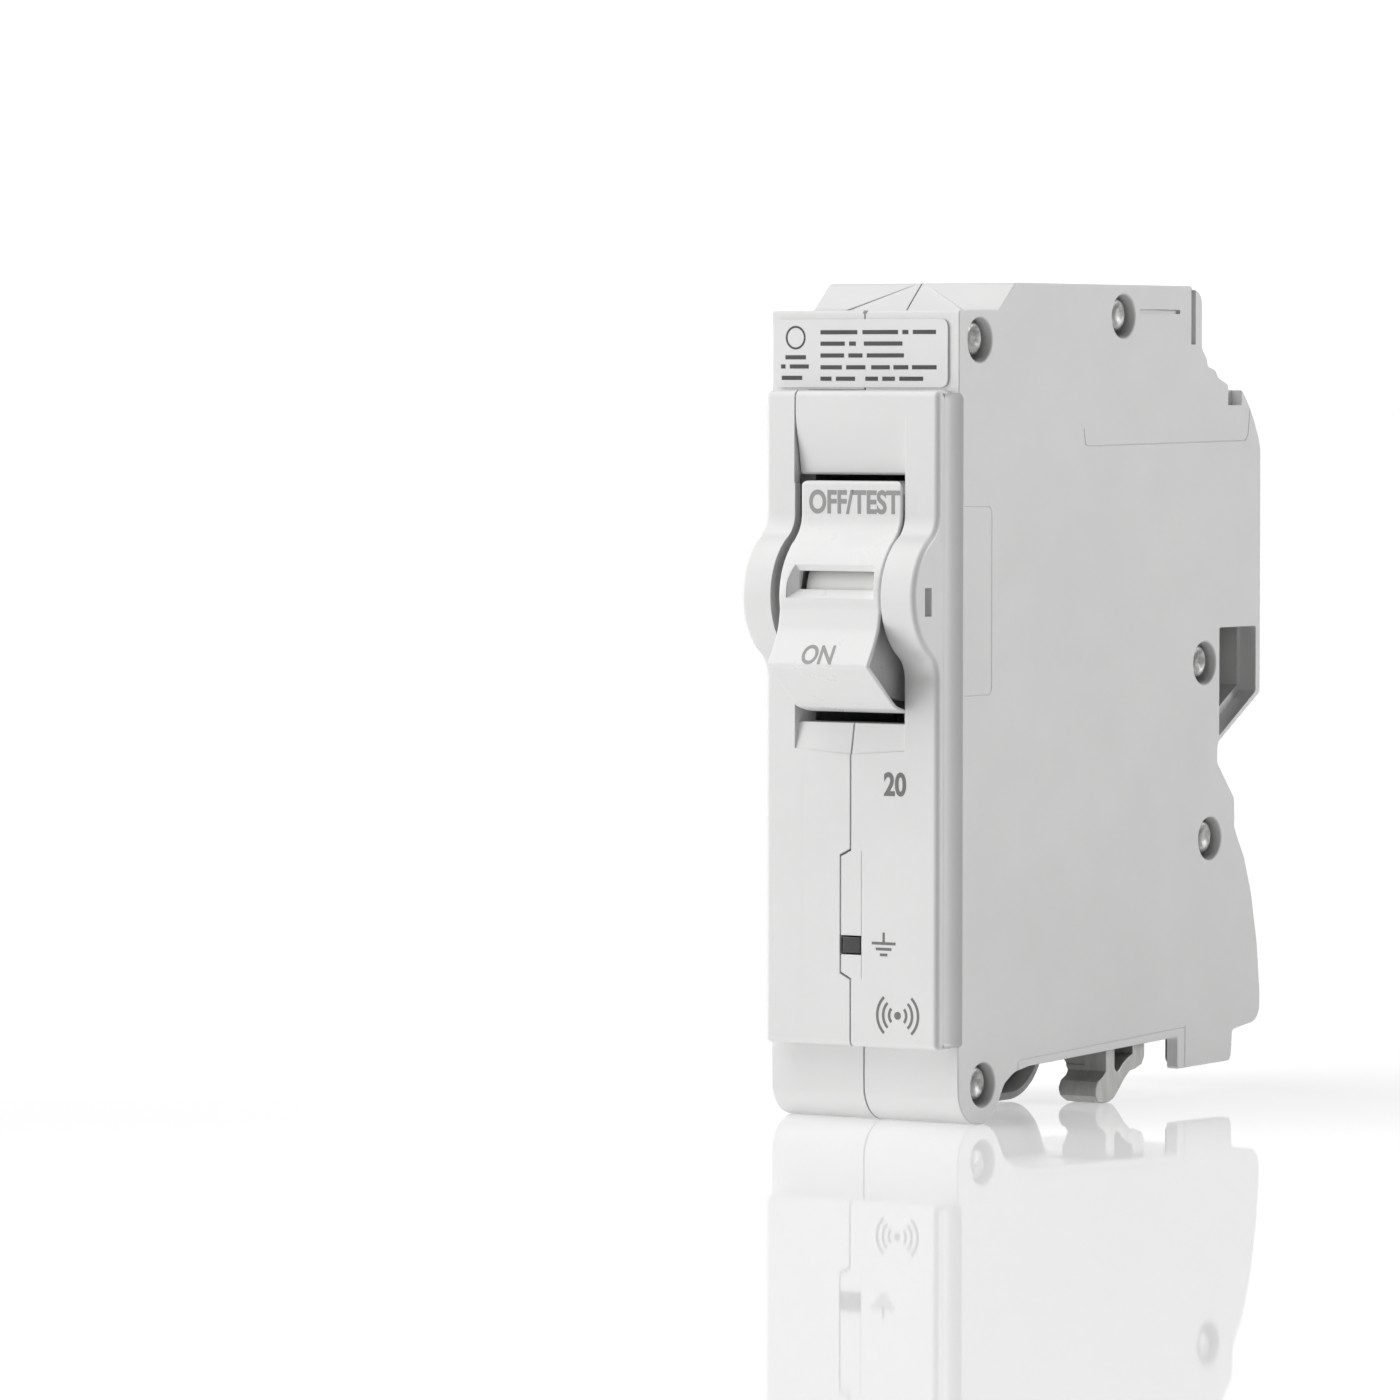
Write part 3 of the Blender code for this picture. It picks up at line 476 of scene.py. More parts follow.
def case_outline():
    """The side view of both shells: foot, front, ledge, chamfer, steps, hook, stab notch."""
    points = [(15.5, 5.9), (12.2, 5.4), (10.0, 4.2)]
    points += arc((5.0, 4.2), 4.2, 330, 270, 8) + arc((4.2, 4.2), 4.2, 270, 190, 12)
    points += [(0.0, 5.0), (0.0, LEDGE), (8.5, LEDGE), (12.1, TOP)]
    points += [(51.6, TOP), (51.8, TOP - 0.45)] + arc((52.4, TOP - 2.15), 1.7, 90, 0, 8)
    points += [(54.1, 88.6), (55.3, 87.3), (55.5, 86.4), (57.3, 86.0), (57.9, 85.1), (59.9, 84.4)]
    points += [(61.5, 83.7), (63.6, 83.6), (65.0, 82.1), (66.3, 80.2), (67.4, 78.2), (68.0, 76.6)]
    points += [(REAR, 47.3), (58.1, 41.6), (57.9, 39.3), (62.0, 34.8), (62.1, 31.2)]
    points += [(64.4, 27.6), (66.1, 23.2), (67.5, 17.2), (REAR_MOST, 11.3)]
    points += arc((REAR_MOST - 2.2, 9.8), 2.2, 0, -80, 8)
    points += [(62.9, 7.2), (61.7, 7.0), (61.4, 3.9), (60.9, 3.4), (48.7, 3.2), (48.7, 7.0), (22.0, 6.1)]
    return soften(points, 0.45)


def cavity_outline():
    """The hollow inside the shells, one wall in from the outline."""
    points = [(WALL, 9.6), (WALL, LEDGE - WALL), (9.1, LEDGE - WALL), (12.8, TOP - WALL)]
    points += [(49.4, TOP - WALL), (50.4, TOP - WALL - 1.0), (50.4, 86.8), (52.6, 85.6), (56.2, 83.6)]
    points += [(59.0, 80.6), (62.0, 80.4), (64.6, 79.8), (66.3, 77.0), (66.3, 48.2), (57.0, 42.8)]
    points += [(56.2, 42.0), (56.2, 38.8), (60.4, 34.1), (60.5, 30.8), (62.8, 27.0), (64.4, 22.8)]
    points += [(65.8, 17.0), (66.5, 11.3), (65.7, 9.2), (61.0, 8.8), (40.0, 8.6), (22.0, 7.8)]
    points += [(14.0, 7.6), (10.0, 8.4)]
    return points


def lobe_outline(border=0.0):
    """The round skirt lobe below the left shell."""
    low = 0.15 + border
    points = [(16.0 + border, 9.0), (17.4 + border, 4.6)]
    points += arc((22.6, 5.6), 5.6 - low, 205, 270, 10)
    points += arc((31.8, 8.3), 8.3 - low, 270, 332, 14)
    return points + [(41.6 - border, 9.2)]


def rail_outline():
    """Side view of a bezel rail: its front swells to a round boss about the handle's pivot."""
    front = -BEZEL_PROUD
    reach = EAR_RADIUS + EAR_BLEND
    drop = -front + EAR_BLEND
    half = math.sqrt(reach * reach - drop * drop)
    tilt = math.degrees(math.asin(drop / reach))
    low = arc((front - EAR_BLEND, PIVOT[1] - half), EAR_BLEND, 0, 90 - tilt, 8)
    high = arc((front - EAR_BLEND, PIVOT[1] + half), EAR_BLEND, tilt - 90, 0, 8)
    boss = arc(PIVOT, EAR_RADIUS, 270 - tilt, 90 + tilt, 32)
    foot, brow = bezel_corners()
    return [(1.0, BEZEL_LOW)] + foot + low + boss[1:-1] + high + brow + [(1.0, BEZEL_HIGH)]


def bezel_corners():
    """The rounded lower and upper front edges of the bezel, in its side view."""
    small, large = 0.7, 0.8
    low = arc((small - BEZEL_PROUD, BEZEL_LOW + small), small, 270, 180, 4)
    high = arc((large - BEZEL_PROUD, BEZEL_HIGH - large), large, 180, 90, 5)
    return low, high


def cove_fill(side):
    """The stock between a bezel rail and the edge of the case, before cove() hollows it."""
    section = rectangle((BEZEL_SIDE - 2, COVE_FRONT - 0.1), (HALF_WIDTH - 0.02, 1.5))
    return prism("cove", [(side * x, y) for x, y in section], BEZEL_LOW + 0.3, BEZEL_HIGH - 0.3, "Z")


def cove(side):
    """A cutter that hollows the fillet beside a bezel rail and runs out through the edge of the case."""
    turn = math.degrees(math.asin((COVE_REAR - COVE_FRONT) / COVE_RADIUS))
    centre = (BEZEL_SIDE + 0.01 + COVE_RADIUS, COVE_FRONT)
    section = [(BEZEL_SIDE + 0.01, -8.0)] + arc(centre, COVE_RADIUS, 180, 180 - turn, 10)
    section += [(HALF_WIDTH + 5, COVE_REAR), (HALF_WIDTH + 5, -8.0)]
    section = [(side * x, y) for x, y in section]
    return prism("cove", section, BEZEL_LOW + 0.25, BEZEL_HIGH - 0.25, "Z", 0.5, 0.8)


def bezel():
    """The raised bezel: two rails with rounded edges, and the face between them."""
    low, high = bezel_corners()
    middle = inset([(1.0, BEZEL_LOW)] + low + high + [(1.0, BEZEL_HIGH)], 0.004)
    body = prism("bezel", middle, -BEZEL_SIDE + 2, BEZEL_SIDE - 2)
    right = prism("rail", rail_outline(), WINDOW_RIGHT - 1, BEZEL_SIDE, round_high=BEZEL_ROUND, steps=6)
    left = prism("rail", rail_outline(), -BEZEL_SIDE, WINDOW_LEFT + 1, round_low=BEZEL_ROUND, steps=6)
    return join(body, right, left, cove_fill(1), cove_fill(-1))


def counterbore(centre):
    """A cutter for a rivet's hole, with a recess for its head on both sides."""
    half = [
        (HALF_WIDTH + 1.0, COUNTERBORE + 0.30),
        (HALF_WIDTH, COUNTERBORE + 0.30),
        (HALF_WIDTH - 0.10, COUNTERBORE + 0.14),
        (HALF_WIDTH - 0.35, COUNTERBORE + 0.03),
        (HALF_WIDTH - 0.8, COUNTERBORE - 0.05),
        (HALF_WIDTH - COUNTERBORE_DEPTH, COUNTERBORE - 0.15),
        (HALF_WIDTH - COUNTERBORE_DEPTH, RIVET_HOLE),
    ]
    steps = [(-along, radius) for along, radius in half] + half[::-1]
    return turned("hole", centre, steps)


def case_body():
    """Both shells in one, before they are parted."""
    body = prism("case", case_outline(), -HALF_WIDTH, HALF_WIDTH, "X", 0.15, 0.15, 3)
    join(body, bezel(), prism("lobe", lobe_outline(), -HALF_WIDTH, -SEAM_GAP / 2, "X", 0.5, 0.3))
    cut(body, cove(1), cove(-1))
    cavity = prism("cavity", cavity_outline(), -HALF_WIDTH + WALL, HALF_WIDTH - WALL)
    pocket = prism("pocket", lobe_outline(0.9), -HALF_WIDTH + 1.2, SEAM_GAP)
    cut(body, cavity, pocket)
    for name, centre in RIVETS.items():
        if name != "rivet_foot":
            join(body, cylinder("boss", centre, BOSS_RADIUS, -HALF_WIDTH + 1, HALF_WIDTH - 1))
    cut(body, *[counterbore(centre) for centre in RIVETS.values()])
    return body


def chamfer_facet():
    """A cutter for the shallow triangle on the top chamfer, its apex on the seam."""
    out = Vector((0.0, -0.664, 0.747))
    apex = Vector((0.0, 12.3, 96.08))
    left, right = Vector((-8.8, 8.3, 92.52)), Vector((8.4, 8.3, 92.52))
    deep = [apex - out * 0.02, left - out * 0.14, right - out * 0.2]
    high = [point + out * 1.5 for point in (apex, left, right)]
    return hull("facet", deep + high)


def lower_pad():
    """A cutter for the pad below the handle, which slopes in, with its lower edge dipping to the seam."""
    dip = 0.55
    points = []
    for x, low in ((WINDOW_LEFT, PAD_LOW + dip), (0.0, PAD_LOW), (WINDOW_RIGHT, PAD_LOW + dip)):
        points += [(x, -6, low), (x, -BEZEL_PROUD, low), (x, -2.75, low + 0.12)]
        points += [(x, -1.9, WINDOW_LOW + 1), (x, -6, WINDOW_LOW + 1)]
    return hull("pad", points)


def cut_front(body):
    """Cuts the window, the pads above and below it, the lens opening and the small slots of the front."""
    window = block("window", (WINDOW_LEFT, -20, WINDOW_LOW), (WINDOW_RIGHT, 3, WINDOW_HIGH))
    top_edge = [(-5, WINDOW_HIGH - 1), (3, WINDOW_HIGH - 1), (3, WINDOW_HIGH), (-1.5, WINDOW_HIGH)]
    top_edge += [(-1.78, 74.25), (-2.3, 77.2), (-2.62, 78.6), (-2.85, 80.0)]
    top_edge += [(-BEZEL_PROUD - 0.02, 81.2), (-5, 81.2)]
    top_pad = prism("top_pad", top_edge, WINDOW_LEFT, WINDOW_RIGHT)
    undercut = block("undercut", (-9.6, -1.8, 66.0), (WINDOW_LEFT + 1, 1.5, WINDOW_HIGH - 0.02))
    lens = block("lens", (TONGUE_LEFT, -5, 19.3), (TONGUE_RIGHT, 3, 21.5))
    pin = cylinder("pin", PIVOT, PIN_RADIUS + 0.08, -9.9, 9.9)
    ear_slot = block("ear_slot", (9.4, -5.7, 58.1), (13, -4.3, 61.3))
    cut(body, window, lower_pad(), top_pad, undercut, lens, pin, ear_slot, chamfer_facet())
    notch = [(-0.5, -1, LEDGE + 1), (0.5, -1, LEDGE + 1), (-0.25, -1, LEDGE - 0.4), (0.25, -1, LEDGE - 0.4)]
    return cut(body, hull("notch", notch + [(x, 0.5, z) for x, _, z in notch]))


def cut_side_and_rear(body):
    """Cuts the right side's slots and recess, the stab slot, and the openings under the skirt."""
    hook_slot = block("hook_slot", (11.1, 51.5, 89.0), (14, 52.5, 95.4))
    corner_pocket = block("corner_pocket", (11.3, 60.2, 81.8), (14, 63.4, 86.0))
    recess = [(58.3, 42.35), (66.9, 47.45), (66.9, 55.3), (58.3, 55.3)]
    stab_slot = block("stab_slot", (-3.4, 55.5, 35.0), (3.4, 71, 45.4))
    jaw_slot = block("jaw_slot", (3.9, 32.6, -1), (11.0, 45.2, 10))
    clip_slot = block("clip_slot", (10.0, 49.6, 5), (10.98, 56.3, 10))
    flange_gap = block("flange_gap", (-14, 47.5, -1), (11.3, 62.3, 7.05))
    cut(body, hook_slot, corner_pocket, prism("recess", soften(recess, 0.3), 10.5, 14))
    return cut(body, stab_slot, jaw_slot, clip_slot, flange_gap)


def cut_witness_lines(body):
    """Fine lines left by the mould's inserts, and one short groove, on the right side."""
    lines = [
        ([(27.1, 79.1), (27.5, 77.3), (28.2, 77.1), (64.2, 77.55), (64.9, 78.2), (65.3, 81.2)], 0.10, 0.07),
        ([(12.9, 5.2), (12.9, 6.5), (13.3, 6.7), (50.2, 8.05)], 0.10, 0.07),
        ([(50.5, 3.0), (50.5, 8.3)], 0.10, 0.07),
        ([(1.2, 70.4), (6.4, 70.35), (7.0, 69.8), (7.0, 49.5), (6.4, 48.9), (1.2, 48.9)], 0.08, 0.05),
        ([(39.7, 92.8), (44.0, 92.85), (48.9, 92.8)], 0.45, 0.4),
    ]
    for path, width, depth in lines:
        line = strip(path, width)
        cut(body, prism("line", line, HALF_WIDTH - depth, HALF_WIDTH + 1))
    low = (TONGUE_RIGHT, -4, TONGUE_LOW)
    high = (TONGUE_RIGHT + 0.06, 0.05 - BEZEL_PROUD, TONGUE_HIGH)
    return cut(body, block("witness", low, high))


def seam_region(side, gap):
    """Everything on one side of the seam, which steps aside at the upper pad and at the tongue.

    The left shell's walls carry a lip that closes the seam behind its visible line.
    """
    far = 30.0
    chamfer = 0.7
    grow = 0.0 if side == "right" else 2 * gap
    left = gap - grow
    tongue = [
        (1.0, TONGUE_HIGH + grow),
        (left, TONGUE_HIGH + grow),
        (TONGUE_LEFT + left, TONGUE_HIGH - chamfer + grow),
        (TONGUE_LEFT + left, TONGUE_LOW + chamfer - grow),
        (left, TONGUE_LOW - grow),
        (1.0, TONGUE_LOW - grow),
    ]
    above = rectangle((WINDOW_LEFT + left, WINDOW_HIGH - 1), (1.0, BEZEL_HIGH - 0.02 + grow / 3))
    steps = [
        prism("tongue", tongue, -far - grow, 2 + grow, "Y"),
        prism("above", above, -far - grow, 2 + grow, "Y"),
    ]
    if side == "right":
        return join(block("region", (gap, -far, -far), (far, 100, 130)), *steps)
    region = cut(block("region", (-far, -far, -far), (-gap, 100, 130)), *steps)
    lip = prism("lip", inset(cavity_outline(), -LIP_GROW), -gap - LIP_ROOT, gap + LIP_BITE)
    return join(region, lip)


def case_shells(materials):
    """Cuts the whole case, then parts it into the two shells along the seam."""
    body = cut_witness_lines(cut_side_and_rear(cut_front(case_body())))
    for side in ("left", "right"):
        shell = body.copy()
        shell.data = body.data.copy()
        shell.name = f"{side}_shell"
        bpy.context.scene.collection.objects.link(shell)
        keep(shell, seam_region(side, SEAM_GAP / 2))
        finish(shell, materials["white_plastic"], "case", "white_plastic", f"case_{side}")
    bpy.data.objects.remove(body)


def rivets(materials):
    """Semi-tubular rivets: each end has a rolled rim around a shallow dished centre."""
    seat = HALF_WIDTH - COUNTERBORE_DEPTH + 0.05
    head = HALF_WIDTH - RIVET_SUNK
    profile = [
        (seat, RIVET_SHANK),
        (seat, RIVET_HEAD),
        (head - 0.5, RIVET_HEAD),
        (head - 0.22, RIVET_HEAD - 0.08),
        (head - 0.05, RIVET_HEAD - 0.28),
        (head, RIVET_HEAD - 0.55),
        (head - 0.04, RIVET_HEAD - 0.8),
        (head - 0.22, 0.75),
        (head - 0.28, 0.3),
    ]
    for name, centre in RIVETS.items():
        steps = [(-along, radius) for along, radius in profile[::-1]] + profile
        made = turned(f"{name}_head", (centre[0], centre[1] + RIVET_RAISED), steps)
        finish(made, materials["rivet_steel"], "case", "rivet_steel", name)


def label(materials):
    """Front sticker with rounded corners. Plain bars stand where its small print would be."""
    low, high = (-12.3, 83.9), (11.3, 91.7)
    film = prism("label", soften(rectangle(low, high), 1.1, 6), -0.25, -0.05, "Y", 0.06, 0.0, 2)
    finish(film, materials["label_film"], "case", "label_film", "front_label")
    rows = [
        (90.2, [(-5.9, -0.9), (-0.2, 4.6), (5.2, 6.0), (6.6, 9.7)]),
        (88.9, [(-5.9, -2.6), (-2.0, -1.1), (0.0, 5.2)]),
        (87.55, [(-5.9, -2.7), (-2.1, -0.2), (0.4, 5.4)]),
        (86.2, [(-5.9, -3.0), (-2.4, 0.2), (1.0, 3.5), (4.0, 6.0), (6.5, 9.8)]),
        (84.9, [(-5.9, -4.4), (-3.8, -1.2), (0.2, 1.9), (2.5, 4.2), (4.8, 8.0)]),
        (86.3, [(-11.3, -10.7), (-10.1, -7.5)]),
        (85.0, [(-11.2, -8.4)]),
        (87.35, [(-10.7, -7.9)]),
    ]
    bars = [prism("ring", ring_outline((-9.3, 89.6), 1.35, 1.12), -0.27, -0.24, "Y")]
    for z, words in rows:
        for start, end in words:
            bars.append(prism("bar", rectangle((start, z - 0.24), (end, z + 0.24)), -0.27, -0.24, "Y"))
    finish(merged("label_bars", bars), materials["print_dark"], "case", "label_film")


def ring_outline(centre, outer, inner, start=0.0, end=359.0, steps=48):
    """A ring, or a piece of one, as a single outline."""
    return arc(centre, outer, start, end, steps) + arc(centre, inner, end, start, steps)


def merged(name, parts):
    """Separate meshes made one object."""
    bm = bmesh.new()
    for part in parts:
        bm.from_mesh(part.data)
        bpy.data.objects.remove(part)
    return mesh_object(name, bm)


def lens(materials):
    """The dark indicator window, set into the tongue."""
    low = (TONGUE_LEFT + 0.2, 0.1 - BEZEL_PROUD, 19.45)
    high = (TONGUE_RIGHT - 0.15, 1.4, 21.35)
    made = block("lens", low, high, 0.1)
    finish(made, materials["dark_lens"], "case", "dark_lens", "status_lens")


# ---------------------------------------------------------------- handle


def handle_front():
    """The handle's outer surface from its top edge down to the end of its shield."""
    points = [(-3.2, HANDLE_TOP), (-3.2, 69.4), (-3.35, 68.5), (-3.8, 67.6), (-4.6, 66.7), (-5.5, 65.95)]
    points += arc(PIVOT, 7.9, 138, 191, 14)
    points += [(-8.05, 56.9), (-8.3, 56.2), (-8.9, 54.9), NOSE, (-5.3, 48.25)]
    return points


def handle_slot():
    """A cutter for the slot that the status flag shows through, with sides that widen outwards."""
    outer = rectangle((-5.9, 59.3), (6.5, 66.9))
    middle = rectangle((-5.5, 60.1), (6.2, 65.2))
    inner = rectangle((-4.5, 61.0), (5.7, 63.1))
    rings = []
    for y, corners in ((-9.5, outer), (-7.7, middle), (-6.7, inner), (-5.0, inner)):
        rings.append([Vector((x, y, z)) * MM for x, z in corners])
    return skinned("slot", rings)


def handle(materials):
    """The rocker: a hollow shell with its shield, pin holes and slot, rounded in plan.

    Known fault: the mesh comes out open, without its two outer side faces.
    """
    end = 302.0
    outline = handle_front() + arc(PIVOT, SHIELD_RADIUS, 250.8, end, 18)
    outline += arc(PIVOT, SHIELD_RADIUS - SHIELD_WALL, end, end - 8, 2)
    outline += [(7.2, 57.0), (7.2, 61.5), (2.4, 64.4), (-0.6, HANDLE_TOP)]
    outline = soften(outline, 0.5, 4, 25)
    body = prism("handle_rocker", outline, HANDLE_LEFT, HANDLE_RIGHT, "X", 0.3, 0.3)
    plan = soften(rectangle((HANDLE_LEFT, 40.0), (HANDLE_RIGHT, HANDLE_TOP)), 1.0, 6)
    keep(body, prism("plan", plan, -20, 20, "Y"))
    hollow = [(-1.7, 71.8), (-1.7, 68.9), (-3.6, 65.6)]
    hollow += arc(PIVOT, 7.9 - HANDLE_WALL, 125, 200, 12)
    hollow += [(-7.6, 54.6), (-7.9, 52.2), (-4.6, 49.4)]
    hollow += arc(PIVOT, SHIELD_RADIUS - SHIELD_WALL, 253, end - 8, 12)
    hollow += [(12, 52), (12, 66), (3, 71.8)]
    cut(body, prism("hollow", hollow, HANDLE_LEFT + HANDLE_SIDE, HANDLE_RIGHT - HANDLE_SIDE))
    cut(body, cylinder("pin_hole", PIVOT, PIN_RADIUS + 0.08, -20, 20))
    cut(body, cylinder("link_hole", CRANK, 0.88, HANDLE_LEFT + 0.6, HANDLE_RIGHT - 0.6))
    cut(body, handle_slot())
    finish(body, materials["handle_plastic"], "handle", "handle_plastic", "handle")


def status_flag(materials):
    """The pale sector that shows in the handle's slot, on its hub about the handle's pin."""
    outline = arc(PIVOT, FLAG_RADIUS, 140, 222, 24) + arc(PIVOT, 2.3, 235, 480, 32)
    flag = prism("flag", outline, FLAG_LEFT, FLAG_RIGHT, "X", 0.15, 0.15)
    cut(flag, cylinder("hole", PIVOT, PIN_RADIUS + 0.08, -20, 20))
    finish(flag, materials["flag_plastic"], "status_flag", "flag_plastic", "status_flag")


# ---------------------------------------------------------------- jaws and clips


def jaw_outline():
    """Side view of the load jaw: a flat tab, a swollen heel, and the arm that rises behind it."""
    points = [(36.1, 9.6), (36.1, 3.7), (35.4, 3.1), (34.3, 2.6), (33.8, 1.8), (33.75, 0.9), (34.3, 0.2)]
    points += [(35.4, 0.02), (36.8, 0.05), (37.8, 0.35), (39.0, 1.3), (40.4, 2.6), (41.6, 3.4), (42.8, 3.55)]
    points += [(44.3, 4.0), (44.9, 4.9), (44.9, 7.8), (42.2, 7.8), (42.2, 5.4), (41.0, 5.0), (39.9, 4.4)]
    points += [(39.1, 3.7), (38.6, 3.5), (38.1, 4.0), (38.1, 9.6)]
    return points


def jaws(materials):
    """The plated load jaw, the plate in the lobe and the dark spring blade by the rear flange."""
    jaw = prism("jaw", jaw_outline(), 4.4, 10.5, "X", 0.0, 0.15, 3)
    face = [(4.4, 20), (4.4, 5.2), (4.9, 4.4), (5.4, 3.4), (5.4, 1.5), (5.8, 0.5), (6.7, -0.1), (10.2, -0.1)]
    face += [(11.0, 0.4), (11.0, 20)]
    keep(jaw, prism("face", soften(face, 0.4), 30, 50, "Y"))
    join(jaw, block("bridge", (1.0, 36.2, 8.9), (10.2, 37.9, 10.3)))
    join(jaw, block("riser", (1.03, 36.25, 9.2), (3.4, 37.6, 18.6)))
    cut(jaw, block("leaf_edge", (4.0, 35.9, 4.3), (7.6, 36.3, 9.3)))
    finish(jaw, materials["tin_plate"], "case", "tin_plate", "load_jaw")
    plate = [(23.0, 2.1), (32.4, 2.1), (36.0, 3.4), (38.0, 6.0), (38.4, 9.2), (20.0, 9.2), (20.0, 4.6)]
    clip = prism("lobe_plate", soften(plate, 1.2, 5), -2.7, -1.3, "X", 0.2, 0.2)
    join(clip, block("riser", (-3.0, 31.0, 8.2), (-1.2, 33.0, 16.6)))
    finish(clip, materials["tin_plate"], "case", "tin_plate", "neutral_clip")
    blade = [(49.9, 4.2), (50.5, 3.6), (55.4, 3.6), (56.0, 4.2), (56.0, 14.0), (49.9, 14.0)]
    made = prism("blade", soften(blade, 0.3), 10.3, 10.9, "X", 0.12, 0.12)
    finish(made, materials["dark_steel"], "case", "dark_steel", "rail_clip")


# ---------------------------------------------------------------- printed marks


def lettering(name, text, height, width, centre, lean=0.0, bold=0.0):
    """Flat letters of this height and total width, facing -Y, centred on a point and leaning back about X."""
    curve = bpy.data.curves.new(name, "FONT")
    curve.body = text
    curve.resolution_u = 6
    curve.offset = bold
    curve.extrude = 0.02
    holder = bpy.data.objects.new(name, curve)
    bpy.context.scene.collection.objects.link(holder)
    graph = bpy.context.evaluated_depsgraph_get()
    mesh = bpy.data.meshes.new_from_object(holder.evaluated_get(graph))
    bpy.data.objects.remove(holder)
    xs = [vertex.co.x for vertex in mesh.vertices]
    ys = [vertex.co.y for vertex in mesh.vertices]
    middle = Vector(((min(xs) + max(xs)) / 2, (min(ys) + max(ys)) / 2, 0.0))
    size = Matrix.Diagonal((width / (max(xs) - min(xs)), height / (max(ys) - min(ys)), 1.0, 1.0))
    upright = Matrix.Rotation(math.radians(90 + lean), 4, "X")
    place = Matrix.Translation(Vector(centre)) @ upright @ size @ Matrix.Translation(-middle)
    mesh.transform(Matrix.Scale(MM, 4) @ place)
    made = bpy.data.objects.new(name, mesh)
    bpy.context.scene.collection.objects.link(made)
    return made


def marks(materials):
    """Generic marks only: the rating's number, the switch words, an earth sign and a radio sign."""
    front = -BEZEL_PROUD - 0.005
    ink = materials["print"]
    number = lettering("rating_number", "20", 2.75, 3.0, (6.0, front, 38.9), bold=0.03)
    finish(number, ink, "case", "white_plastic")
    pale = materials["print_pale"]
    off = lettering("off_word", "OFF/TEST", 2.75, 12.3, (0.65, -3.2 - 0.005, 70.9), bold=0.03)
    finish(off, pale, "handle", "handle_plastic")
    slope_top, slope_low = Vector((-8.9, 54.9)), Vector(NOSE)
    lean = math.degrees(math.atan2(slope_top.x - slope_low.x, slope_top.y - slope_low.y))
    middle = slope_low.lerp(slope_top, 0.52)
    on = lettering("on_word", "ON", 2.5, 4.2, (-0.1, middle.x - 0.005, middle.y), -lean, bold=0.02)
    finish(on, pale, "handle", "handle_plastic")
    earth = [rectangle((4.35, 20.9), (4.65, 22.0))]
    for half, z in ((1.6, 20.75), (1.05, 20.1), (0.5, 19.45)):
        earth.append(rectangle((4.5 - half, z - 0.16), (4.5 + half, z + 0.16)))
    bars = [prism("bar", outline, front - PRINT_PROUD, front + PRINT_DEEP, "Y") for outline in earth]
    finish(merged("earth_sign", bars), ink, "case", "white_plastic")
    centre = (6.4, 12.6)
    waves = [prism("dot", arc(centre, 0.45, 0, 345, 23), front - PRINT_PROUD, front + PRINT_DEEP, "Y")]
    for radius, spread in ((1.15, 42), (1.95, 46), (2.75, 48)):
        for heading in (0, 180):
            wave = ring_outline(centre, radius + 0.16, radius - 0.16, heading - spread, heading + spread, 20)
            waves.append(prism("wave", wave, front - PRINT_PROUD, front + PRINT_DEEP, "Y"))
    finish(merged("radio_sign", waves), ink, "case", "white_plastic")


# ---------------------------------------------------------------- stage


def floor():
    """A plain pale floor: a thin white film on clear glass, with a faint mirror sheen. It casts no shadow."""
    bm = bmesh.new()
    bmesh.ops.create_grid(bm, x_segments=1, y_segments=1, size=25.0)
    plane = mesh_object("floor", bm)
    plane.location.z = cad_low.z
    made = bpy.data.materials.new("floor")
    made.use_nodes = True
    tree = made.node_tree
    tree.nodes.remove(tree.nodes["Principled BSDF"])
    matt = node(tree, "ShaderNodeBsdfDiffuse", Color=(0.96, 0.96, 0.96, 1.0))
    clear = node(tree, "ShaderNodeBsdfTransparent", Color=(1.0, 1.0, 1.0, 1.0))
    mirror = node(tree, "ShaderNodeBsdfGlossy", Color=(1.0, 1.0, 1.0, 1.0), Roughness=0.03)
    base = node(tree, "ShaderNodeMixShader", Fac=0.45)
    mix = node(tree, "ShaderNodeMixShader", Fac=0.36)
    tree.links.new(matt.outputs["BSDF"], base.inputs[1])
    tree.links.new(clear.outputs["BSDF"], base.inputs[2])
    tree.links.new(base.outputs["Shader"], mix.inputs[1])
    tree.links.new(mirror.outputs["BSDF"], mix.inputs[2])
    tree.links.new(mix.outputs["Shader"], tree.nodes["Material Output"].inputs["Surface"])
    plane.data.materials.append(made)
    plane.visible_shadow = False


def light(name, direction, strength, spread):
    """A very soft distant light that comes from a direction. The spread is its width in degrees."""
    lamp = bpy.data.lights.new(name, "SUN")
    lamp.energy = strength
    lamp.angle = math.radians(spread)
    holder = bpy.data.objects.new(name, lamp)
    holder.rotation_mode = "QUATERNION"
    holder.rotation_quaternion = Vector(direction).to_track_quat("Z", "Y")
    bpy.context.scene.collection.objects.link(holder)


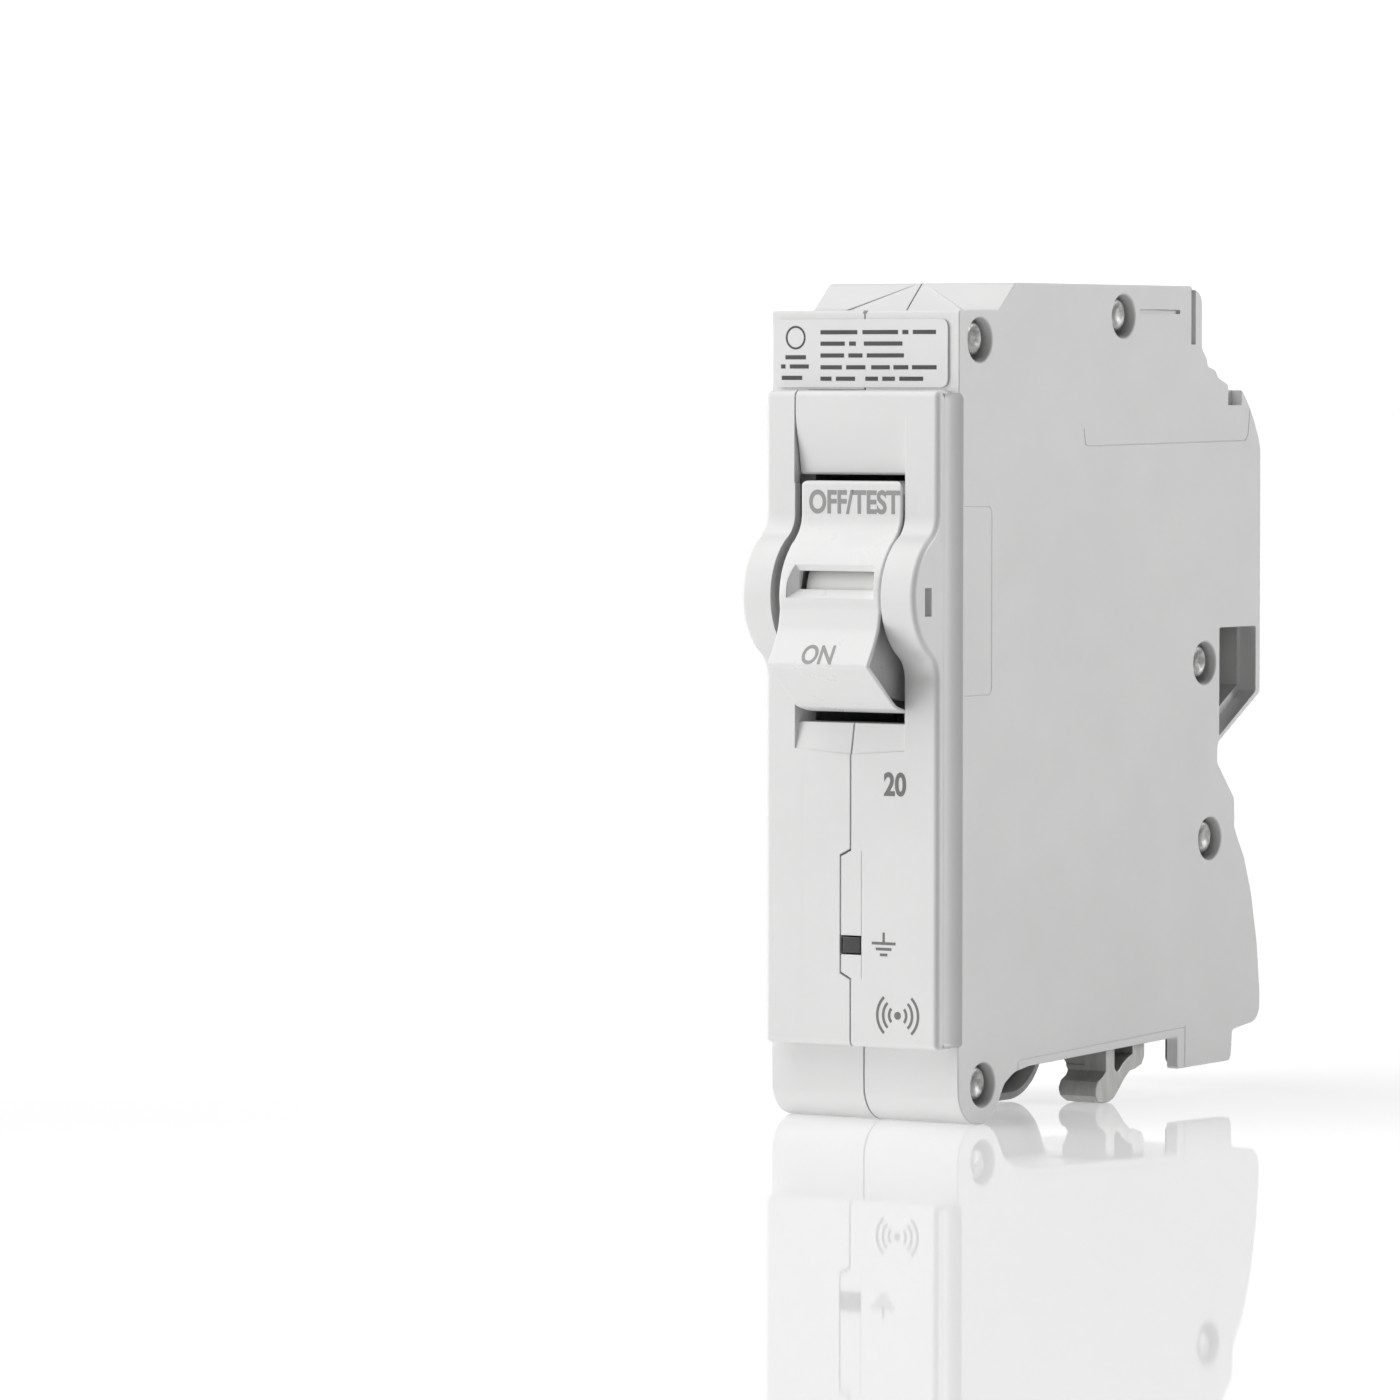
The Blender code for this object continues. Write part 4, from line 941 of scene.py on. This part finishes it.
def studio():
    """White surroundings, dimmer for the light that they give than for how they look, and four soft lamps."""
    world = bpy.data.worlds.new("studio")
    bpy.context.scene.world = world
    world.use_nodes = True
    tree = world.node_tree
    background = tree.nodes["Background"]
    background.inputs["Color"].default_value = (1.0, 1.0, 1.0, 1.0)
    path = tree.nodes.new("ShaderNodeLightPath")
    seen = node(tree, "ShaderNodeMath", operation="MAXIMUM")
    tree.links.new(path.outputs["Is Camera Ray"], seen.inputs[0])
    sheen = node(tree, "ShaderNodeMath", operation="SUBTRACT")
    tree.links.new(path.outputs["Is Glossy Ray"], sheen.inputs[0])
    tree.links.new(path.outputs["Diffuse Depth"], sheen.inputs[1])
    tree.links.new(sheen.outputs["Value"], seen.inputs[1])
    level = node(tree, "ShaderNodeMapRange")
    level.inputs["To Min"].default_value = 0.13
    level.inputs["To Max"].default_value = 1.16
    tree.links.new(seen.outputs["Value"], level.inputs["Value"])
    tree.links.new(level.outputs["Result"], background.inputs["Strength"])
    light("overhead", (-0.45, -0.35, 0.82), 1.9, 60)
    light("left_front", (-0.78, -0.61, 0.12), 1.1, 40)
    light("right_rear", (0.66, 0.6, 0.25), 1.4, 25)
    light("table_glow", (-0.40, -0.50, -0.77), 1.0, 60)
    bpy.context.scene.view_settings.view_transform = "Standard"


def camera():
    yaw, pitch, roll = (math.radians(angle) for angle in (CAMERA_YAW, CAMERA_PITCH, CAMERA_ROLL))
    back = Vector((math.sin(yaw) * math.cos(pitch), -math.cos(yaw) * math.cos(pitch), math.sin(pitch)))
    level = (-back).cross(Vector((0, 0, 1))).normalized()
    upright = level.cross(-back)
    right = level * math.cos(roll) + upright * math.sin(roll)
    up = upright * math.cos(roll) - level * math.sin(roll)
    aim = Vector(AIM) + Vector((0, DEPTH_SHIFT, 0)) + right * AIM_RIGHT + up * AIM_UP
    data = bpy.data.cameras.new("camera")
    data.lens = CAMERA_LENS
    data.sensor_width = 36.0
    data.clip_start = 0.05
    holder = bpy.data.objects.new("camera", data)
    turn = Matrix((right, up, back)).transposed().to_4x4()
    holder.matrix_world = Matrix.Translation((aim + back * CAMERA_DISTANCE) * MM) @ turn
    bpy.context.scene.collection.objects.link(holder)
    bpy.context.scene.camera = holder


def main():
    materials = make_materials()
    dress_cad_nodes(materials)
    case_shells(materials)
    rivets(materials)
    label(materials)
    lens(materials)
    handle(materials)
    status_flag(materials)
    marks(materials)
    jaws(materials)
    floor()
    studio()
    camera()


main()
